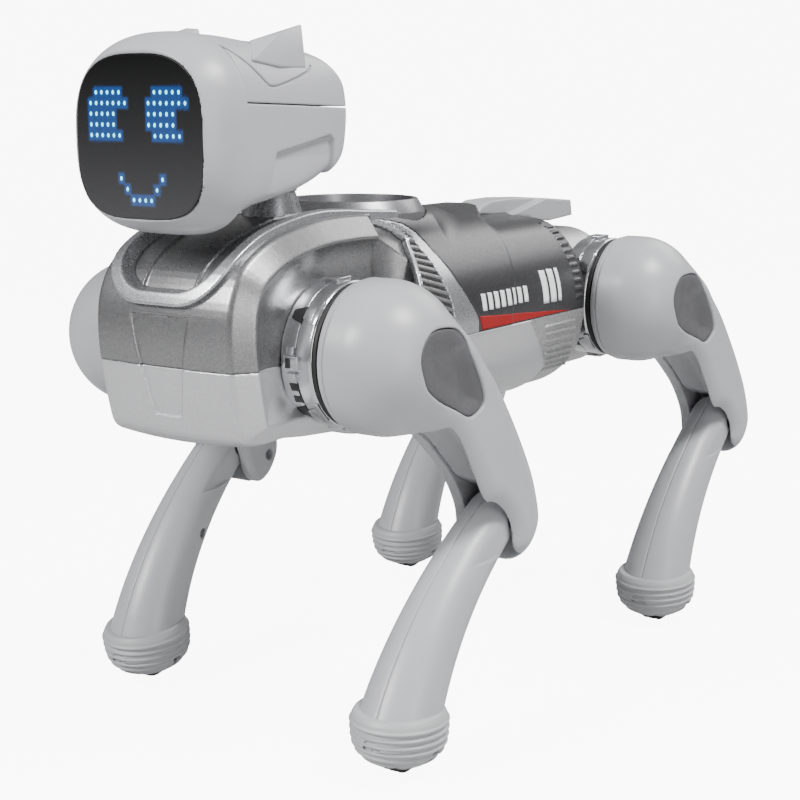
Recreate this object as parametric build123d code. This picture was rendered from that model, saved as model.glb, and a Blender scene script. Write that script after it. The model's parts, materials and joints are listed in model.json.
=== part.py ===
"""Quadruped robot dog: a desk-size toy robot with a screen face and four folding legs.

Millimetres. The nose points to -Y, the dog's left side is +X, the floor is Z = 0,
and X = 0 is the plane of symmetry of the body. Every leg part is modelled once,
about the hip centre of a left leg, then mirrored and swung into its place.
"""
import os
from math import asin, atan2, cos, degrees, hypot, radians, sin
from build123d import *

# ---- driving dimensions -------------------------------------------------------------
hip_spacing = 200.0            # front hip axis to rear hip axis
front_hip_y = -110.2
rear_hip_y = front_hip_y + hip_spacing
hip_z = 150.0

wall = 2.2                     # moulded wall of the body shells
seam_z = 148.5                 # parting height of the upper and lower body shells

chest_half_width = 38.0
chest_rear = 46.0              # stations along the body count rearward from the front hip
cowl_rear = 72.0
barrel_rear = 170.0
barrel_step = 118.0            # the rear part of the barrel stands 0.8 mm lower
barrel_width, barrel_height, barrel_round = 100.0, 84.0, 40.0
barrel_z = 151.0
tail_housing_rear = 226.0
flank_x = 33.0                 # flat side of the body behind a hip collar
scoop_radius = 41.5            # round scoop of the chest about the front hip

socket_y, socket_radius, socket_top = 62.0, 24.6, 201.5   # round socket in the back deck
socket_floor, socket_rim = 190.0, 29.4
neck_y, neck_hole = 11.0, 6.0

collar_radius, collar_outer_x = 27.0, 47.0
gasket_outer_x = 48.8
flange_x = 49.0                # inboard face of the turning leg
motor_radius, shaft_radius = 11.0, 3.0
running_gap = 0.05             # radial clearance of every turning fit

dome_radius, dome_x = 28.4, 62.0        # shoulder: a barrel closed by a half sphere
leg_outer_x = 90.4
knee_y, knee_z = 54.0, -68.0            # knee axis, from the hip
calf_inner_x, calf_outer_x = 63.0, 83.0
calf_mid_x = 73.0
knee_post_radius = 4.0
foot_y = -10.0                          # foot centre, from the hip
foot_floor_z = -hip_z
roller_radius, roller_width = 9.5, 10.0
leg_swing = {"front_left": 0.0, "front_right": 9.0, "rear_left": 4.5, "rear_right": 7.0}

head_z, head_width, head_height = 230.0, 71.0, 70.0
face_y, head_seam_y = -59.0, -43.5
screen_width, screen_height, screen_round = 57.6, 56.0, 14.0
head_split_z = 239.0

os.makedirs("parts", exist_ok=True)


hip_axes = (front_hip_y, rear_hip_y)
screw_spots = [(x, y, z) for y, z in ((24, 118.0), (82, 114.0), (154.5, 114.0)) for x in (-16, 16)]
frame_z0, frame_z1 = 131.0, 134.0
hatch_screw_y = 146.0


# ---- helpers ------------------------------------------------------------------------
def station(y):
    """Row coordinate of a place that lies y behind the front hip axis."""
    return front_hip_y + y


def outline(*corners):
    """Closed face through corners given as (across, up, corner radius)."""
    face = Sketch() + make_face(Polyline(*[(a, b) for a, b, _ in corners], close=True))
    for a, b, radius in corners:
        if radius:
            corner = face.vertices().sort_by_distance((a, b, 0))[0]
            face = fillet(corner, radius)
    return face


def rounded(width, height, radius, across=0.0, up=0.0):
    """Rounded rectangle centred at (across, up)."""
    return Pos(across, up, 0) * RectangleRounded(width, height, radius)


def smooth(*points):
    """Closed smooth face through points."""
    return Sketch() + make_face(Spline(*points, periodic=True))


def shrink(face, distance):
    return offset(face, amount=-distance, kind=Kind.INTERSECTION)


def along_x(face, x0, x1):
    """Prism of a (Y, Z) face between two lateral planes."""
    return extrude(Plane.YZ.offset(x0) * face, amount=x1 - x0, dir=(1, 0, 0))


def along_y(face, y0, y1):
    """Prism of an (X, Z) face between two stations."""
    return extrude(Plane.XZ.offset(-station(y0)) * face, amount=y1 - y0, dir=(0, 1, 0))


def along_z(face, z0, z1):
    """Prism of an (X, Y) face between two heights."""
    return extrude(Plane.XY.offset(z0) * face, amount=z1 - z0, dir=(0, 0, 1))


def block(x0, x1, y0, y1, z0, z1):
    """Box in row coordinates, with y given as stations."""
    size = (x1 - x0, y1 - y0, z1 - z0)
    centre = ((x0 + x1) / 2, station((y0 + y1) / 2), (z0 + z1) / 2)
    return Pos(*centre) * Box(*size)


def rod_x(radius, x0, x1, y, z):
    """Round rod along X through (y, z)."""
    return Pos((x0 + x1) / 2, y, z) * Rot(0, 90, 0) * Cylinder(radius, x1 - x0)


def rod_z(radius, z0, z1, x, y):
    """Upright round rod through (x, y)."""
    return Pos(x, y, (z0 + z1) / 2) * Cylinder(radius, z1 - z0)


def turned_z(face, x, y):
    """Body of revolution about an upright axis from a (radius, height) face."""
    plane = Plane(origin=(x, y, 0), x_dir=(1, 0, 0), z_dir=(0, -1, 0))
    return revolve(plane * face, Axis((x, y, 0), (0, 0, 1)))


def turned_x(face):
    """Body of revolution about the local X axis from a (lateral, radius) face."""
    plane = Plane(origin=(0, 0, 0), x_dir=(1, 0, 0), z_dir=(0, -1, 0))
    return revolve(plane * face, Axis((0, 0, 0), (1, 0, 0)))


def both_sides(part):
    """A part on the left side and its mirror image on the right."""
    return [part, mirror(part, about=Plane.YZ)]


def write(name, *solids):
    """One STEP file for one node; several solids stay separate in it."""
    found = [solid for part in solids for solid in part.solids()]
    export_step(Compound(children=found), f"parts/{name}.step")


# ---- body outlines ------------------------------------------------------------------
def y_shift(corners):
    """Outline corners whose first value is a station, in row coordinates."""
    return [(station(y), z, radius) for y, z, radius in corners]


side_outline = outline(*y_shift([
    (60, 112.5, 0), (-20, 117.0, 12), (-38, 121.5, 6), (-52.5, 150, 8), (-51.5, 166, 12),
    (-47, 180, 8), (-37, 188.5, 12), (-18, 195, 20), (-5, 195.5, 0), (60, 195.5, 0),
]))
front_outline = outline((-38, 110, 22), (38, 110, 22), (38, 198, 27), (-38, 198, 27))


def plan_outline(inset):
    """Chest seen from above, with its chamfered front corners, moved inward by the inset."""
    side, front, corner = chest_half_width - inset, -53 + inset, 30 - 0.5 * inset
    return outline(
        (-corner, station(front), 3), (corner, station(front), 3), (side, station(-43 + 0.3 * inset), 5),
        (side, station(60), 0), (-side, station(60), 0), (-side, station(-43 + 0.3 * inset), 5),
    )


def chest_block(inset):
    """Solid block of the chest, moved inward by the inset, scooped around the hips."""
    side = shrink(side_outline, inset) if inset else side_outline
    front = shrink(front_outline, inset) if inset else front_outline
    solid = along_x(side, -60, 60) & along_y(front, -60, 70) & along_z(plan_outline(inset), 90, 220)
    scoop = rod_x(scoop_radius + inset, flank_x - inset, 60, front_hip_y, hip_z)
    for cutter in both_sides(scoop):
        solid -= cutter
    return solid


def barrel_block(inset, y0, y1):
    """Solid of the barrel between two stations, moved inward by the inset."""
    face = rounded(barrel_width - 2 * inset, barrel_height - 2 * inset,
                   barrel_round - inset, up=barrel_z)
    return along_y(face, y0, y1)


def cowl_block(inset):
    """Flare that joins the chest section to the wider barrel."""
    sections = [(76.0, 83.0, 34.0, 154.0, chest_rear),
                (barrel_width, barrel_height, barrel_round, barrel_z, cowl_rear)]
    faces = []
    for width, height, radius, up, y in sections:
        face = rounded(width - 2 * inset, height - 2 * inset, radius - inset, up=up)
        faces.append(Plane.XZ.offset(-station(y)) * face)
    return loft(faces, ruled=True)


def tail_housing_block(inset):
    face = rounded(2 * (flank_x - inset), 66 - 2 * inset, 26 - inset, up=146.0)
    return along_y(face, 160, tail_housing_rear - inset)


# ---- body: inner parts --------------------------------------------------------------
def chassis_frame():
    """Frame plate with a cradle under each hip motor and posts for the circuit board."""
    frame = block(-24, 24, -24, 214, frame_z0, frame_z1)
    for hip_y in hip_axes:
        station_y = hip_y - front_hip_y
        for cradle in both_sides(block(9, 28, station_y - 9, station_y + 9, frame_z1, 146)):
            frame += cradle
        frame -= rod_x(motor_radius, -32, 32, hip_y, hip_z)
    for y in (88, 152):
        for x in (-20, 20):
            frame += rod_z(3, frame_z1, 140, x, station(y))
    for x, y, _ in screw_spots:
        frame -= rod_z(1.2, frame_z0 - 1, frame_z1 + 1, x, station(y))
    return frame


def hip_gearmotors():
    """Four gear motors on the hip axes, each with its output shaft pointing outward."""
    motors = []
    for hip_y in hip_axes:
        motor = rod_x(motor_radius, 7, 30.6, hip_y, hip_z)
        motor += rod_x(shaft_radius, 30.6, 56, hip_y, hip_z)
        motors += both_sides(motor)
    return motors


def hip_collars():
    """Silver bearing collars between the body and the legs."""
    collars = []
    for hip_y in hip_axes:
        collar = rod_x(collar_radius, flank_x, collar_outer_x, hip_y, hip_z)
        collar -= rod_x(21, flank_x, 44.5, hip_y, hip_z)
        collar -= rod_x(6.0, 44, 48, hip_y, hip_z)
        for angle in range(0, 360, 60):
            lug = Pos(40, 0, 0) * Rot(angle, 0, 0) * Pos(0, 0, collar_radius - 0.4) * Box(8, 9, 2.4)
            collar += Pos(0, hip_y, hip_z) * lug
        collars += both_sides(collar)
    return collars


def hip_gaskets():
    """Black ring seals on the outer faces of the collars."""
    gaskets = []
    for hip_y in hip_axes:
        ring = rod_x(26.4, collar_outer_x, gasket_outer_x, hip_y, hip_z)
        ring -= rod_x(21, collar_outer_x - 1, gasket_outer_x + 1, hip_y, hip_z)
        gaskets += both_sides(ring)
    return gaskets


def battery_pack():
    pack = along_y(rounded(40, 13, 5, up=121.8), 92, 149)
    return fillet(pack.faces().sort_by(Axis.Y)[-1].edges(), 1)


def control_board():
    board = block(-24, 24, 82, 158, 140, 141.6)
    chips = [block(-9, 9, 100, 118, 141.6, 143.6), block(4, 14, 130, 140, 141.6, 143.2)]
    for chip in chips:
        board += chip
    for y in (88, 152):
        for x in (-20, 20):
            board -= rod_z(1.2, 139, 143, x, station(y))
    return board


def speaker():
    """Round speaker under the floor of the back socket."""
    cone = outline((0, 174, 0), (9, 174, 0), (9, 180, 0), (18, 185, 0), (18, 187.4, 0), (0, 187.4, 0))
    return turned_z(cone, 0, station(socket_y))


def charge_port():
    """Charging socket in the rear wall, with its slot open to the outside."""
    port = block(-6, 6, 216, tail_housing_rear, 126, 132)
    slot = along_y(rounded(9, 3.2, 1.5, up=129), 219, tail_housing_rear + 1)
    return port - slot


def power_switch():
    """Sliding knob of the power switch on the underside."""
    knob = block(-4.5, 4.5, 182, 190, 109.6, 117.5)
    for y in (183.2, 185.2, 187.2):
        knob -= block(-5, 5, y, y + 1.2, 109, 110.3)
    return knob


# ---- body: shells -------------------------------------------------------------------
def socket_cut(z0):
    return rod_z(socket_rim, z0, 230, 0, station(socket_y))


def chest_shell():
    solid = chest_block(0)
    shell = solid - chest_block(wall)
    shell &= block(-60, 60, -60, chest_rear, 100, 220)
    posts, bores = screw_posts(solid, 0, chest_rear)
    for post in posts:
        shell += post
    for bore in bores:
        shell -= bore
    shell -= rod_z(neck_hole, 180, 210, 0, station(neck_y))
    shell -= socket_cut(188)
    for side in both_sides(rod_x(12, 20, 60, front_hip_y, hip_z)):
        shell -= side
    # shallow tapered relief on the breast
    relief = outline((-14, 167.5, 2), (14, 167.5, 2), (6.5, 130.5, 2), (-6.5, 130.5, 2))
    front_layer = solid - Pos(0, 0.9, 0) * solid
    shell -= along_y(relief, -60, -30) & front_layer
    return shell


def upper_half(shell):
    return shell & block(-70, 70, -80, 260, seam_z, 240)


def lower_half(shell):
    return shell & block(-70, 70, -80, 260, 60, seam_z)


def back_deck():
    """Raised rim that runs up from the breast, past the neck, into the round socket."""
    rail = outline(*y_shift([
        (62, 190, 0), (62, socket_top, 0), (10, socket_top, 40), (-33, 194.4, 14),
        (-45.5, 187.5, 8), (-53.2, 168, 0), (-40, 168, 0), (-20, 190, 0),
    ]))
    band = along_x(rail, -40, 40) - along_x(side_outline, -41, 41)
    band -= block(-41, 41, 50, 64, 180, 195.5)
    rim_outer = outline((-28.5, 170.5, 20), (28.5, 170.5, 20), (28.5, 210, 0), (-28.5, 210, 0))
    rim_inner = outline((-24, 175.5, 17), (24, 175.5, 17), (24, 211, 0), (-24, 211, 0))
    rim = band & along_y(rim_outer - rim_inner, -60, socket_y)
    ring = outline(
        (0, socket_floor - 2, 0), (socket_rim, socket_floor - 2, 0), (socket_rim, 196, 0),
        (26.4, socket_top, 0), (socket_radius, socket_top, 0), (socket_radius, socket_floor, 0),
        (0, socket_floor, 0),
    )
    rim -= rod_z(socket_rim - 0.2, 188, 230, 0, station(socket_y))
    return rim + turned_z(ring, 0, station(socket_y))


def cowl_shell():
    return cowl_block(0) - cowl_block(wall) - socket_cut(186)


def vent_window():
    """Side view of the crescent vent, as a prism through one flank."""
    crescent = outline(*y_shift([
        (53, 187, 1), (63, 187, 1), (69, 170, 3), (70, 152, 1), (62, 152, 1), (58, 170, 4),
    ]))
    return along_x(crescent, 30, 60)


def vent_cowl():
    cowl = cowl_shell()
    for window in both_sides(vent_window()):
        cowl -= window
    return cowl


def side_vents():
    """Ribbed dark crescents, one in each side of the cowl."""
    plate = cowl_block(0.4) - cowl_block(wall + 1.2)
    vent = plate & vent_window()
    vent -= socket_cut(186)
    return both_sides(vent)


def tail_envelope():
    side = outline(*y_shift([
        (131, 192.5, 0), (140, 195.6, 2), (227, 191.4, 1), (228, 184, 1), (203, 182.8, 0),
        (186, 186.5, 0), (150, 189.3, 0),
    ]))
    tail = along_x(side, -10, 10)
    plan = outline((-7, station(131), 2), (7, station(131), 2), (10, station(165), 6),
                   (10, station(228), 2), (-10, station(228), 2), (-10, station(165), 6))
    return tail & along_z(plan, 170, 210)


def barrel_shell():
    shell = barrel_block(0, cowl_rear, barrel_step) + barrel_block(0.8, barrel_step, barrel_rear)
    shell -= barrel_block(wall + 0.8, cowl_rear - 1, barrel_rear - wall)
    posts, bores = screw_posts(barrel_block(0.8, cowl_rear, barrel_rear), cowl_rear, barrel_rear)
    for post in posts:
        shell += post
    for bore in bores:
        shell -= bore
    shell -= tail_housing_block(0)
    shell -= socket_cut(186)
    shell -= block(-14, 14, 100, 150, 100, 113)
    shell -= tail_envelope()
    return shell


def battery_door():
    """Hatch in the belly under the battery pack, held by one screw."""
    door = block(-14, 14, 100, 150, 109, 112)
    door &= barrel_block(0, 100, 150)
    door -= rod_z(2.5, 100, 110.2, 0, station(hatch_screw_y))
    return door - rod_z(1.2, 100, 120, 0, station(hatch_screw_y))


def tail_housing():
    shell = tail_housing_block(0) - (tail_housing_block(wall) + along_y(
        rounded(2 * (flank_x - wall), 66 - 2 * wall, 26 - wall, up=146.0), 150, 170))
    for side in both_sides(rod_x(12, 20, 60, rear_hip_y, hip_z)):
        shell -= side
    shell -= block(-6, 6, 216, 240, 126, 132)
    shell -= block(-4.7, 4.7, 178, 194, 105, 116.5)
    shell -= tail_envelope()
    return shell


def screw(x, y, head_z, tip_z):
    """Screw driven upward, its head ending at head_z."""
    shank = rod_z(1.2, head_z, tip_z, x, station(y))
    return rod_z(2.4, head_z - 1.2, head_z, x, station(y)) + shank


def body_screws():
    """Screws of the battery hatch and of the body shells."""
    screws = [screw(x, y, z, frame_z1) for x, y, z in screw_spots]
    return screws + [screw(0, hatch_screw_y, 110.2, 114.8)]


def screw_posts(envelope, first_y, last_y):
    """Hollow posts between the belly and the frame, as the posts and their bores."""
    posts, bores = [], []
    for x, y, z in screw_spots:
        if first_y < y < last_y:
            posts.append(rod_z(3.8, 100, frame_z0, x, station(y)) & envelope)
            bores.append(rod_z(1.2, 100, frame_z1, x, station(y)))
            bores.append(rod_z(2.5, 100, z, x, station(y)))
    return posts, bores


# ---- head ---------------------------------------------------------------------------
def neck_post():
    """Turning post: a cone above the deck, a spigot through it and a retaining flange."""
    cone = outline((0, 191.0, 0), (neck_hole - running_gap, 191.0, 0),
                   (neck_hole - running_gap, 195.6, 0), (12.5, 195.6, 0), (9.0, 206.5, 0),
                   (7.0, 206.5, 0), (7.0, 213.0, 0), (0, 213.0, 0))
    flange = rod_z(9, 189.0, 191.0, 0, station(neck_y))
    return turned_z(cone, 0, station(neck_y)) + flange


def head_front_shell():
    """Deep bezel around the screen."""
    shell = along_y(rounded(head_width, head_height, 22, up=head_z), face_y, head_seam_y)
    front_edges = shell.faces().sort_by(Axis.Y)[0].edges()
    shell = fillet(front_edges, 7)
    shell -= along_y(rounded(screen_width, screen_height, screen_round, up=head_z),
                     face_y - 1, face_y + 1.8)
    shell -= along_y(rounded(screen_width - 5, screen_height - 5, screen_round - 2, up=head_z),
                     face_y, head_seam_y + 1)
    return shell


def screen_lens():
    face = rounded(screen_width - 0.2, screen_height - 0.2, screen_round, up=head_z)
    return along_y(face, face_y + 0.3, face_y + 1.8)


def led_matrix():
    """Circuit board with rows of lamps behind the screen."""
    board = along_y(rounded(50, 48, 10, up=head_z), face_y + 5, face_y + 6.6)
    for x in (-13.5, 13.5):
        board += block(x - 7, x + 7, face_y + 3.5, face_y + 5, 228, 246)
    board += block(-8, 8, face_y + 3.5, face_y + 5, 212, 218)
    return board


def rear_head_block(inset):
    side = outline(*y_shift([
        (-43.5, 203.5, 0), (-18, 206.5, 20), (6, 212, 10), (19, 218, 6), (23, 235, 6),
        (20, 251, 7), (6, 259, 14), (-20, 262.5, 20), (-43.5, 262.5, 0),
    ]))
    plan = outline((-33, station(-43.5), 0), (-32, station(-18), 30), (-25, station(24), 8),
                   (25, station(24), 8), (32, station(-18), 30), (33, station(-43.5), 0))
    front = rounded(66, 62, 17, up=233.0)
    if inset:
        side, plan, front = shrink(side, inset), shrink(plan, inset), shrink(front, inset)
    return along_x(side, -40, 40) & along_z(plan, 190, 280) & along_y(front, -60, 40)


def rear_head_shell():
    shell = rear_head_block(0) - rear_head_block(wall)
    shell -= along_y(rounded(58, 50, 14, up=234.0), head_seam_y - 1, head_seam_y + 5)
    return shell


def head_upper_housing():
    return rear_head_shell() & block(-50, 50, -60, 60, head_split_z, 280)


def head_lower_housing():
    """Lower half of the rear housing, with the cup that takes the neck post."""
    shell = rear_head_shell() & block(-50, 50, -60, 60, 190, head_split_z)
    shell += rod_z(10, 207, 216, 0, station(neck_y)) & rear_head_block(0)
    shell += rod_z(10, 212, 216, 0, station(neck_y))
    shell -= rod_z(7.0, 200, 213.0, 0, station(neck_y))
    return shell - rod_z(12.5, 190, 206.5, 0, station(neck_y))


def ears():
    """Short raked fins on the top corners of the head."""
    side = outline(*y_shift([
        (-33, 252, 0), (-17, 262.5, 5), (-6, 267.0, 1), (-4, 252, 0),
    ]))
    fin = along_x(side, 20.5, 29.5)
    wedge = outline((29.5, 250, 0), (29.0, 256, 1), (25.0, 268, 0), (22.0, 268, 0), (20.5, 250, 0))
    fin = (fin & along_y(wedge, -50, 10)) - rear_head_block(0)
    fin = fin.solids().sort_by(SortBy.VOLUME)[-1]
    return both_sides(fin)


# ---- one left leg, about its hip centre ---------------------------------------------
arm_rear_edge = ((56, -86, 9), (69, -81, 9), (72, -66, 10), (66, -46, 20), (54, -26, 20),
                 (38, -6, 15), (22, 8, 0))
outer_arm_side = outline(
    (0, -20, 0), (4, -26.5, 3), (12, -35, 5), (25, -57, 5), (38, -62, 5), (47, -73, 4),
    (47, -80, 4), *arm_rear_edge,
)
inner_arm_side = outline(
    (4, -22, 0), (9, -27, 3), (30, -41, 8), (44, -56, 6), (44, -70, 5), (47, -80, 6),
    *arm_rear_edge,
)
scoop_outline = smooth((-11, 2), (-5, 10), (4, 12.5), (13, 9.5), (20, 2), (26, -8), (28, -16),
                       (22, -22), (12, -19), (0, -12), (-9, -6))


def dome(radius, inboard_x):
    """Round shoulder of the leg."""
    profile = make_face([
        Line((inboard_x, 0), (inboard_x, radius)), Line((inboard_x, radius), (dome_x, radius)),
        RadiusArc((dome_x, radius), (dome_x + radius, 0), radius),
        Line((dome_x + radius, 0), (inboard_x, 0)),
    ])
    return turned_x(profile)


def arm():
    solid = along_x(outer_arm_side, 56.0, leg_outer_x)
    outer_edges = solid.faces().sort_by(Axis.X)[-1].edges()
    return fillet(outer_edges, 3.0)


def channel():
    """Room inside the arm for the calf, from folded forward to stretched back."""
    room = outline((46, -22, 0), (63.9, -64, 0), (64.3, -70.5, 0), (59.5, -92, 0), (20, -100, 0),
                   (-20, -40, 0), (-6, -16, 0))
    room += Pos(knee_y, knee_z, 0) * Circle(10.6)
    return along_x(room, calf_inner_x - 0.5, calf_outer_x + 0.5)


def thigh_shell():
    """Shoulder dome and arm in one moulding, with the post of the knee."""
    body = dome(dome_radius, 52.6) + arm()
    body -= dome(dome_radius - 2.4, 50.0)
    shoulder = dome(dome_radius, 40)
    body -= channel() - shoulder
    body -= along_x(scoop_outline, 72, 100)
    body -= along_x(outer_arm_side, 50, calf_inner_x - 0.5) - shoulder
    post = rod_x(knee_post_radius, calf_inner_x - 0.5, calf_outer_x + 2, knee_y, knee_z)
    return body + post


def thigh_inner_cover():
    """Cover plate that closes the inner side of the arm and the end of the knee post."""
    plate = along_x(inner_arm_side, 57.0, calf_inner_x - 0.5) - dome(dome_radius, 40)
    plate = plate.solids().sort_by(SortBy.VOLUME)[-1]
    screw_hole = rod_x(2.4, 50, 58.5, knee_y, knee_z) + rod_x(1.5, 50, 70, knee_y, knee_z)
    return plate - screw_hole


def scoop_cap():
    """Recessed grip panel in the outer side of the shoulder."""
    skin = dome(dome_radius - 1.5, 40) + along_x(outer_arm_side, 60, leg_outer_x - 1.6)
    return skin & along_x(scoop_outline, 78, 100)


def hip_flange():
    """Disc that closes the shoulder; its spigot turns in the collar around the motor shaft."""
    face = outline((40.0, 0, 0), (40.0, 6.0 - running_gap, 0), (flange_x, 6.0 - running_gap, 0),
                   (flange_x, 26.8, 0), (52.6, 26.8, 0), (52.6, 8, 0), (57.0, 8, 0), (57.0, 0, 0))
    return turned_x(face) - rod_x(shaft_radius + running_gap, 30, 56.2, 0, 0)


def calf_path():
    return Bezier((calf_mid_x, knee_y, knee_z), (calf_mid_x, 6, -96), (calf_mid_x, foot_y, -136))


def calf_tube(first, last, thinner):
    """Curved tube that widens towards the foot, between two fractions of its length."""
    path = calf_path()
    sections = []
    for step in range(4):
        t = first + (last - first) * step / 3
        radius = 10.0 + 5.0 * t ** 1.4 - thinner
        plane = Plane(origin=path @ t, z_dir=path % t)
        sections.append(plane * Circle(radius))
    return loft(sections)


calf_core = calf_tube(0.05, 1.0, 0)


def calf_block():
    """Both halves of the hollow calf, with the knuckle that turns on the knee post."""
    body = calf_core + rod_x(10.0, calf_inner_x, calf_outer_x, knee_y, knee_z)
    body -= calf_tube(0.3, 0.97, 2.0)
    body -= rod_x(knee_post_radius + running_gap, 50, 90, knee_y, knee_z)
    return body - roller_room()


def roller_room():
    """Space in the foot for the roller."""
    height = 2 * roller_radius + 1.4
    return Pos(calf_mid_x, foot_y, foot_floor_z + height / 2 - 0.2) * Box(11.4, 21, height)


def calf_half(outer):
    side = 1 if outer else -1
    half = Pos(calf_mid_x + side * 25, 40, -90) * Box(50, 200, 200)
    found = (calf_block() & half).solids().sort_by(SortBy.VOLUME)[-1]
    return found


def foot_boot():
    """Ribbed boot around the end of the calf."""
    ribs = [(foot_floor_z + 19.6 - 3.1 * i, 18.6 - 1.1 * i ** 1.25) for i in range(5)]
    corners = [(0, foot_floor_z + 3.0, 0), (8.5, foot_floor_z + 3.0, 0)]
    for z, radius in reversed(ribs):
        corners += [(radius - 1.2, z - 1.5, 0), (radius, z - 0.8, 0), (radius, z + 0.8, 0)]
    corners += [(17.2, foot_floor_z + 21.6, 0), (18.2, foot_floor_z + 23.4, 0),
                (17.6, foot_floor_z + 26, 0), (15.6, foot_floor_z + 28, 0),
                (0, foot_floor_z + 28, 0)]
    boot = turned_z(outline(*corners), calf_mid_x, foot_y)
    boot -= calf_core
    boot -= rod_z(14.6, foot_floor_z + 14.0, foot_floor_z + 16.0, calf_mid_x, foot_y)
    boot -= roller_room()
    boot -= rod_x(1.5 + running_gap, 50, 100, foot_y, foot_floor_z + roller_radius)
    return boot.solids().sort_by(SortBy.VOLUME)[-1]


def foot_roller():
    """Roller that the foot stands on, with its axle stubs."""
    y, z = foot_y, foot_floor_z + roller_radius
    half = roller_width / 2
    roller = rod_x(roller_radius, calf_mid_x - half, calf_mid_x + half, y, z)
    return roller + rod_x(1.5, calf_mid_x - 14, calf_mid_x + 14, y, z)


def knee_trim(leg):
    """Small knee angle that sets the roller of a swung leg on the floor."""
    swing = radians(leg_swing[leg])
    knee_height = knee_y * sin(swing) + knee_z * cos(swing)
    reach_y, reach_z = foot_y - knee_y, foot_floor_z + roller_radius - knee_z
    drop = foot_floor_z + roller_radius - knee_height
    aim = -180 - degrees(asin(drop / hypot(reach_y, reach_z)))
    return aim - degrees(atan2(reach_z, reach_y)) - leg_swing[leg]


def place(part, leg, below_knee=False):
    """Move a leg part from the hip centre to its leg, mirrored for a right leg."""
    if below_knee:
        part = Pos(0, knee_y, knee_z) * Rot(knee_trim(leg), 0, 0) * Pos(0, -knee_y, -knee_z) * part
    if leg.endswith("right"):
        part = mirror(part, about=Plane.YZ)
    hip_y = front_hip_y if leg.startswith("front") else rear_hip_y
    return Pos(0, hip_y, hip_z) * Rot(leg_swing[leg], 0, 0) * part


# ---- all nodes ----------------------------------------------------------------------
write("chassis_frame", chassis_frame())
write("hip_gearmotors", *hip_gearmotors())
write("hip_collars", *hip_collars())
write("hip_gaskets", *hip_gaskets())
write("battery_pack", battery_pack())
write("control_board", control_board())
write("speaker", speaker())
write("charge_port", charge_port())
write("power_switch", power_switch())
write("chest_upper_shell", upper_half(chest_shell()))
write("chest_lower_shell", lower_half(chest_shell()))
write("back_deck", back_deck())
write("vent_cowl", vent_cowl())
write("side_vents", *side_vents())
write("rear_upper_shell", upper_half(barrel_shell()))
write("rear_lower_shell", lower_half(barrel_shell()))
write("battery_door", battery_door())
write("tail_housing", tail_housing())
write("tail_fin", tail_envelope())
write("body_screws", *body_screws())
write("neck_post", neck_post())
write("head_front_shell", head_front_shell())
write("screen_lens", screen_lens())
write("led_matrix", led_matrix())
write("head_upper_housing", head_upper_housing())
write("head_lower_housing", head_lower_housing())
write("ears", *ears())

thigh_parts = {
    "thigh_shell": thigh_shell(),
    "thigh_inner_cover": thigh_inner_cover(),
    "scoop_cap": scoop_cap(),
    "hip_flange": hip_flange(),
}
calf_parts = {
    "calf_outer_shell": calf_half(True),
    "calf_inner_shell": calf_half(False),
    "foot_boot": foot_boot(),
    "foot_roller": foot_roller(),
}
for leg in leg_swing:
    for name, part in thigh_parts.items():
        write(f"{leg}_{name}", place(part, leg))
    for name, part in calf_parts.items():
        write(f"{leg}_{name}", place(part, leg, below_knee=True))
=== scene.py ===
"""Looks for the quadruped robot dog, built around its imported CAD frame.

Shapes are worked out in millimetres about places read from the frame, and handed to Blender in metres.
Body shapes use "stations": y counted rearward from the front hip axis, so station 0 is that axis.
"""
import json
import math
import bmesh
import bpy
import numpy as np
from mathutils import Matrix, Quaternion, Vector


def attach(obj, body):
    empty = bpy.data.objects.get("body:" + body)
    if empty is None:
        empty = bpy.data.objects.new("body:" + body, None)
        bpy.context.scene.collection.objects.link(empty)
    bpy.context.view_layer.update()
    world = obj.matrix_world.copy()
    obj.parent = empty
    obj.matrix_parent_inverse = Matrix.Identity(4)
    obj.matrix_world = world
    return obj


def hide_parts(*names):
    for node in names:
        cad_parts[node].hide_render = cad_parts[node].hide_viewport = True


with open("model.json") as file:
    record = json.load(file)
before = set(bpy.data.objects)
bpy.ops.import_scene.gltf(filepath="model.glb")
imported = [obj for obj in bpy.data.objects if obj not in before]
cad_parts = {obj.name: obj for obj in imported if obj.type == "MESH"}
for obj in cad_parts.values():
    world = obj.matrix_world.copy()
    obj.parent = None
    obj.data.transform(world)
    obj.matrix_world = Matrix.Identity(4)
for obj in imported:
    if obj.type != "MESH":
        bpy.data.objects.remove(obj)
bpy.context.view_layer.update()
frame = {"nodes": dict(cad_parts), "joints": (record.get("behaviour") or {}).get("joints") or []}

LEGS = ("front_left", "front_right", "rear_left", "rear_right")
joint_at = {j["name"]: np.array(j["pos_m"]) * 1000 for j in frame["joints"] if "pos_m" in j}
FRONT_Y = joint_at["front_left_hip"][1]
REAR_Y = joint_at["rear_left_hip"][1]
HIP_Z = joint_at["front_left_hip"][2]


# ---- meshes -------------------------------------------------------------------------
def mesh_piece(name, verts, faces, material, body, slot=None, stands_for=(), smooth=True):
    """A mesh object from millimetre points, riding on a body of the frame."""
    data = bpy.data.meshes.new(name)
    data.from_pydata(np.asarray(verts, float) / 1000, [], [tuple(int(i) for i in f) for f in faces])
    data.polygons.foreach_set("use_smooth", [smooth] * len(data.polygons))
    data.materials.append(material)
    data.update()
    piece = bpy.data.objects.new(name, data)
    bpy.context.scene.collection.objects.link(piece)
    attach(piece, body)
    if stands_for:
        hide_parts(*stands_for)
    return piece


def station(verts):
    """Points given by station, moved into the row frame."""
    return np.asarray(verts, float) + np.array([0, FRONT_Y, 0])


CORNERS = np.array([(i, j, k) for i in (0, 1) for j in (0, 1) for k in (0, 1)])


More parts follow.
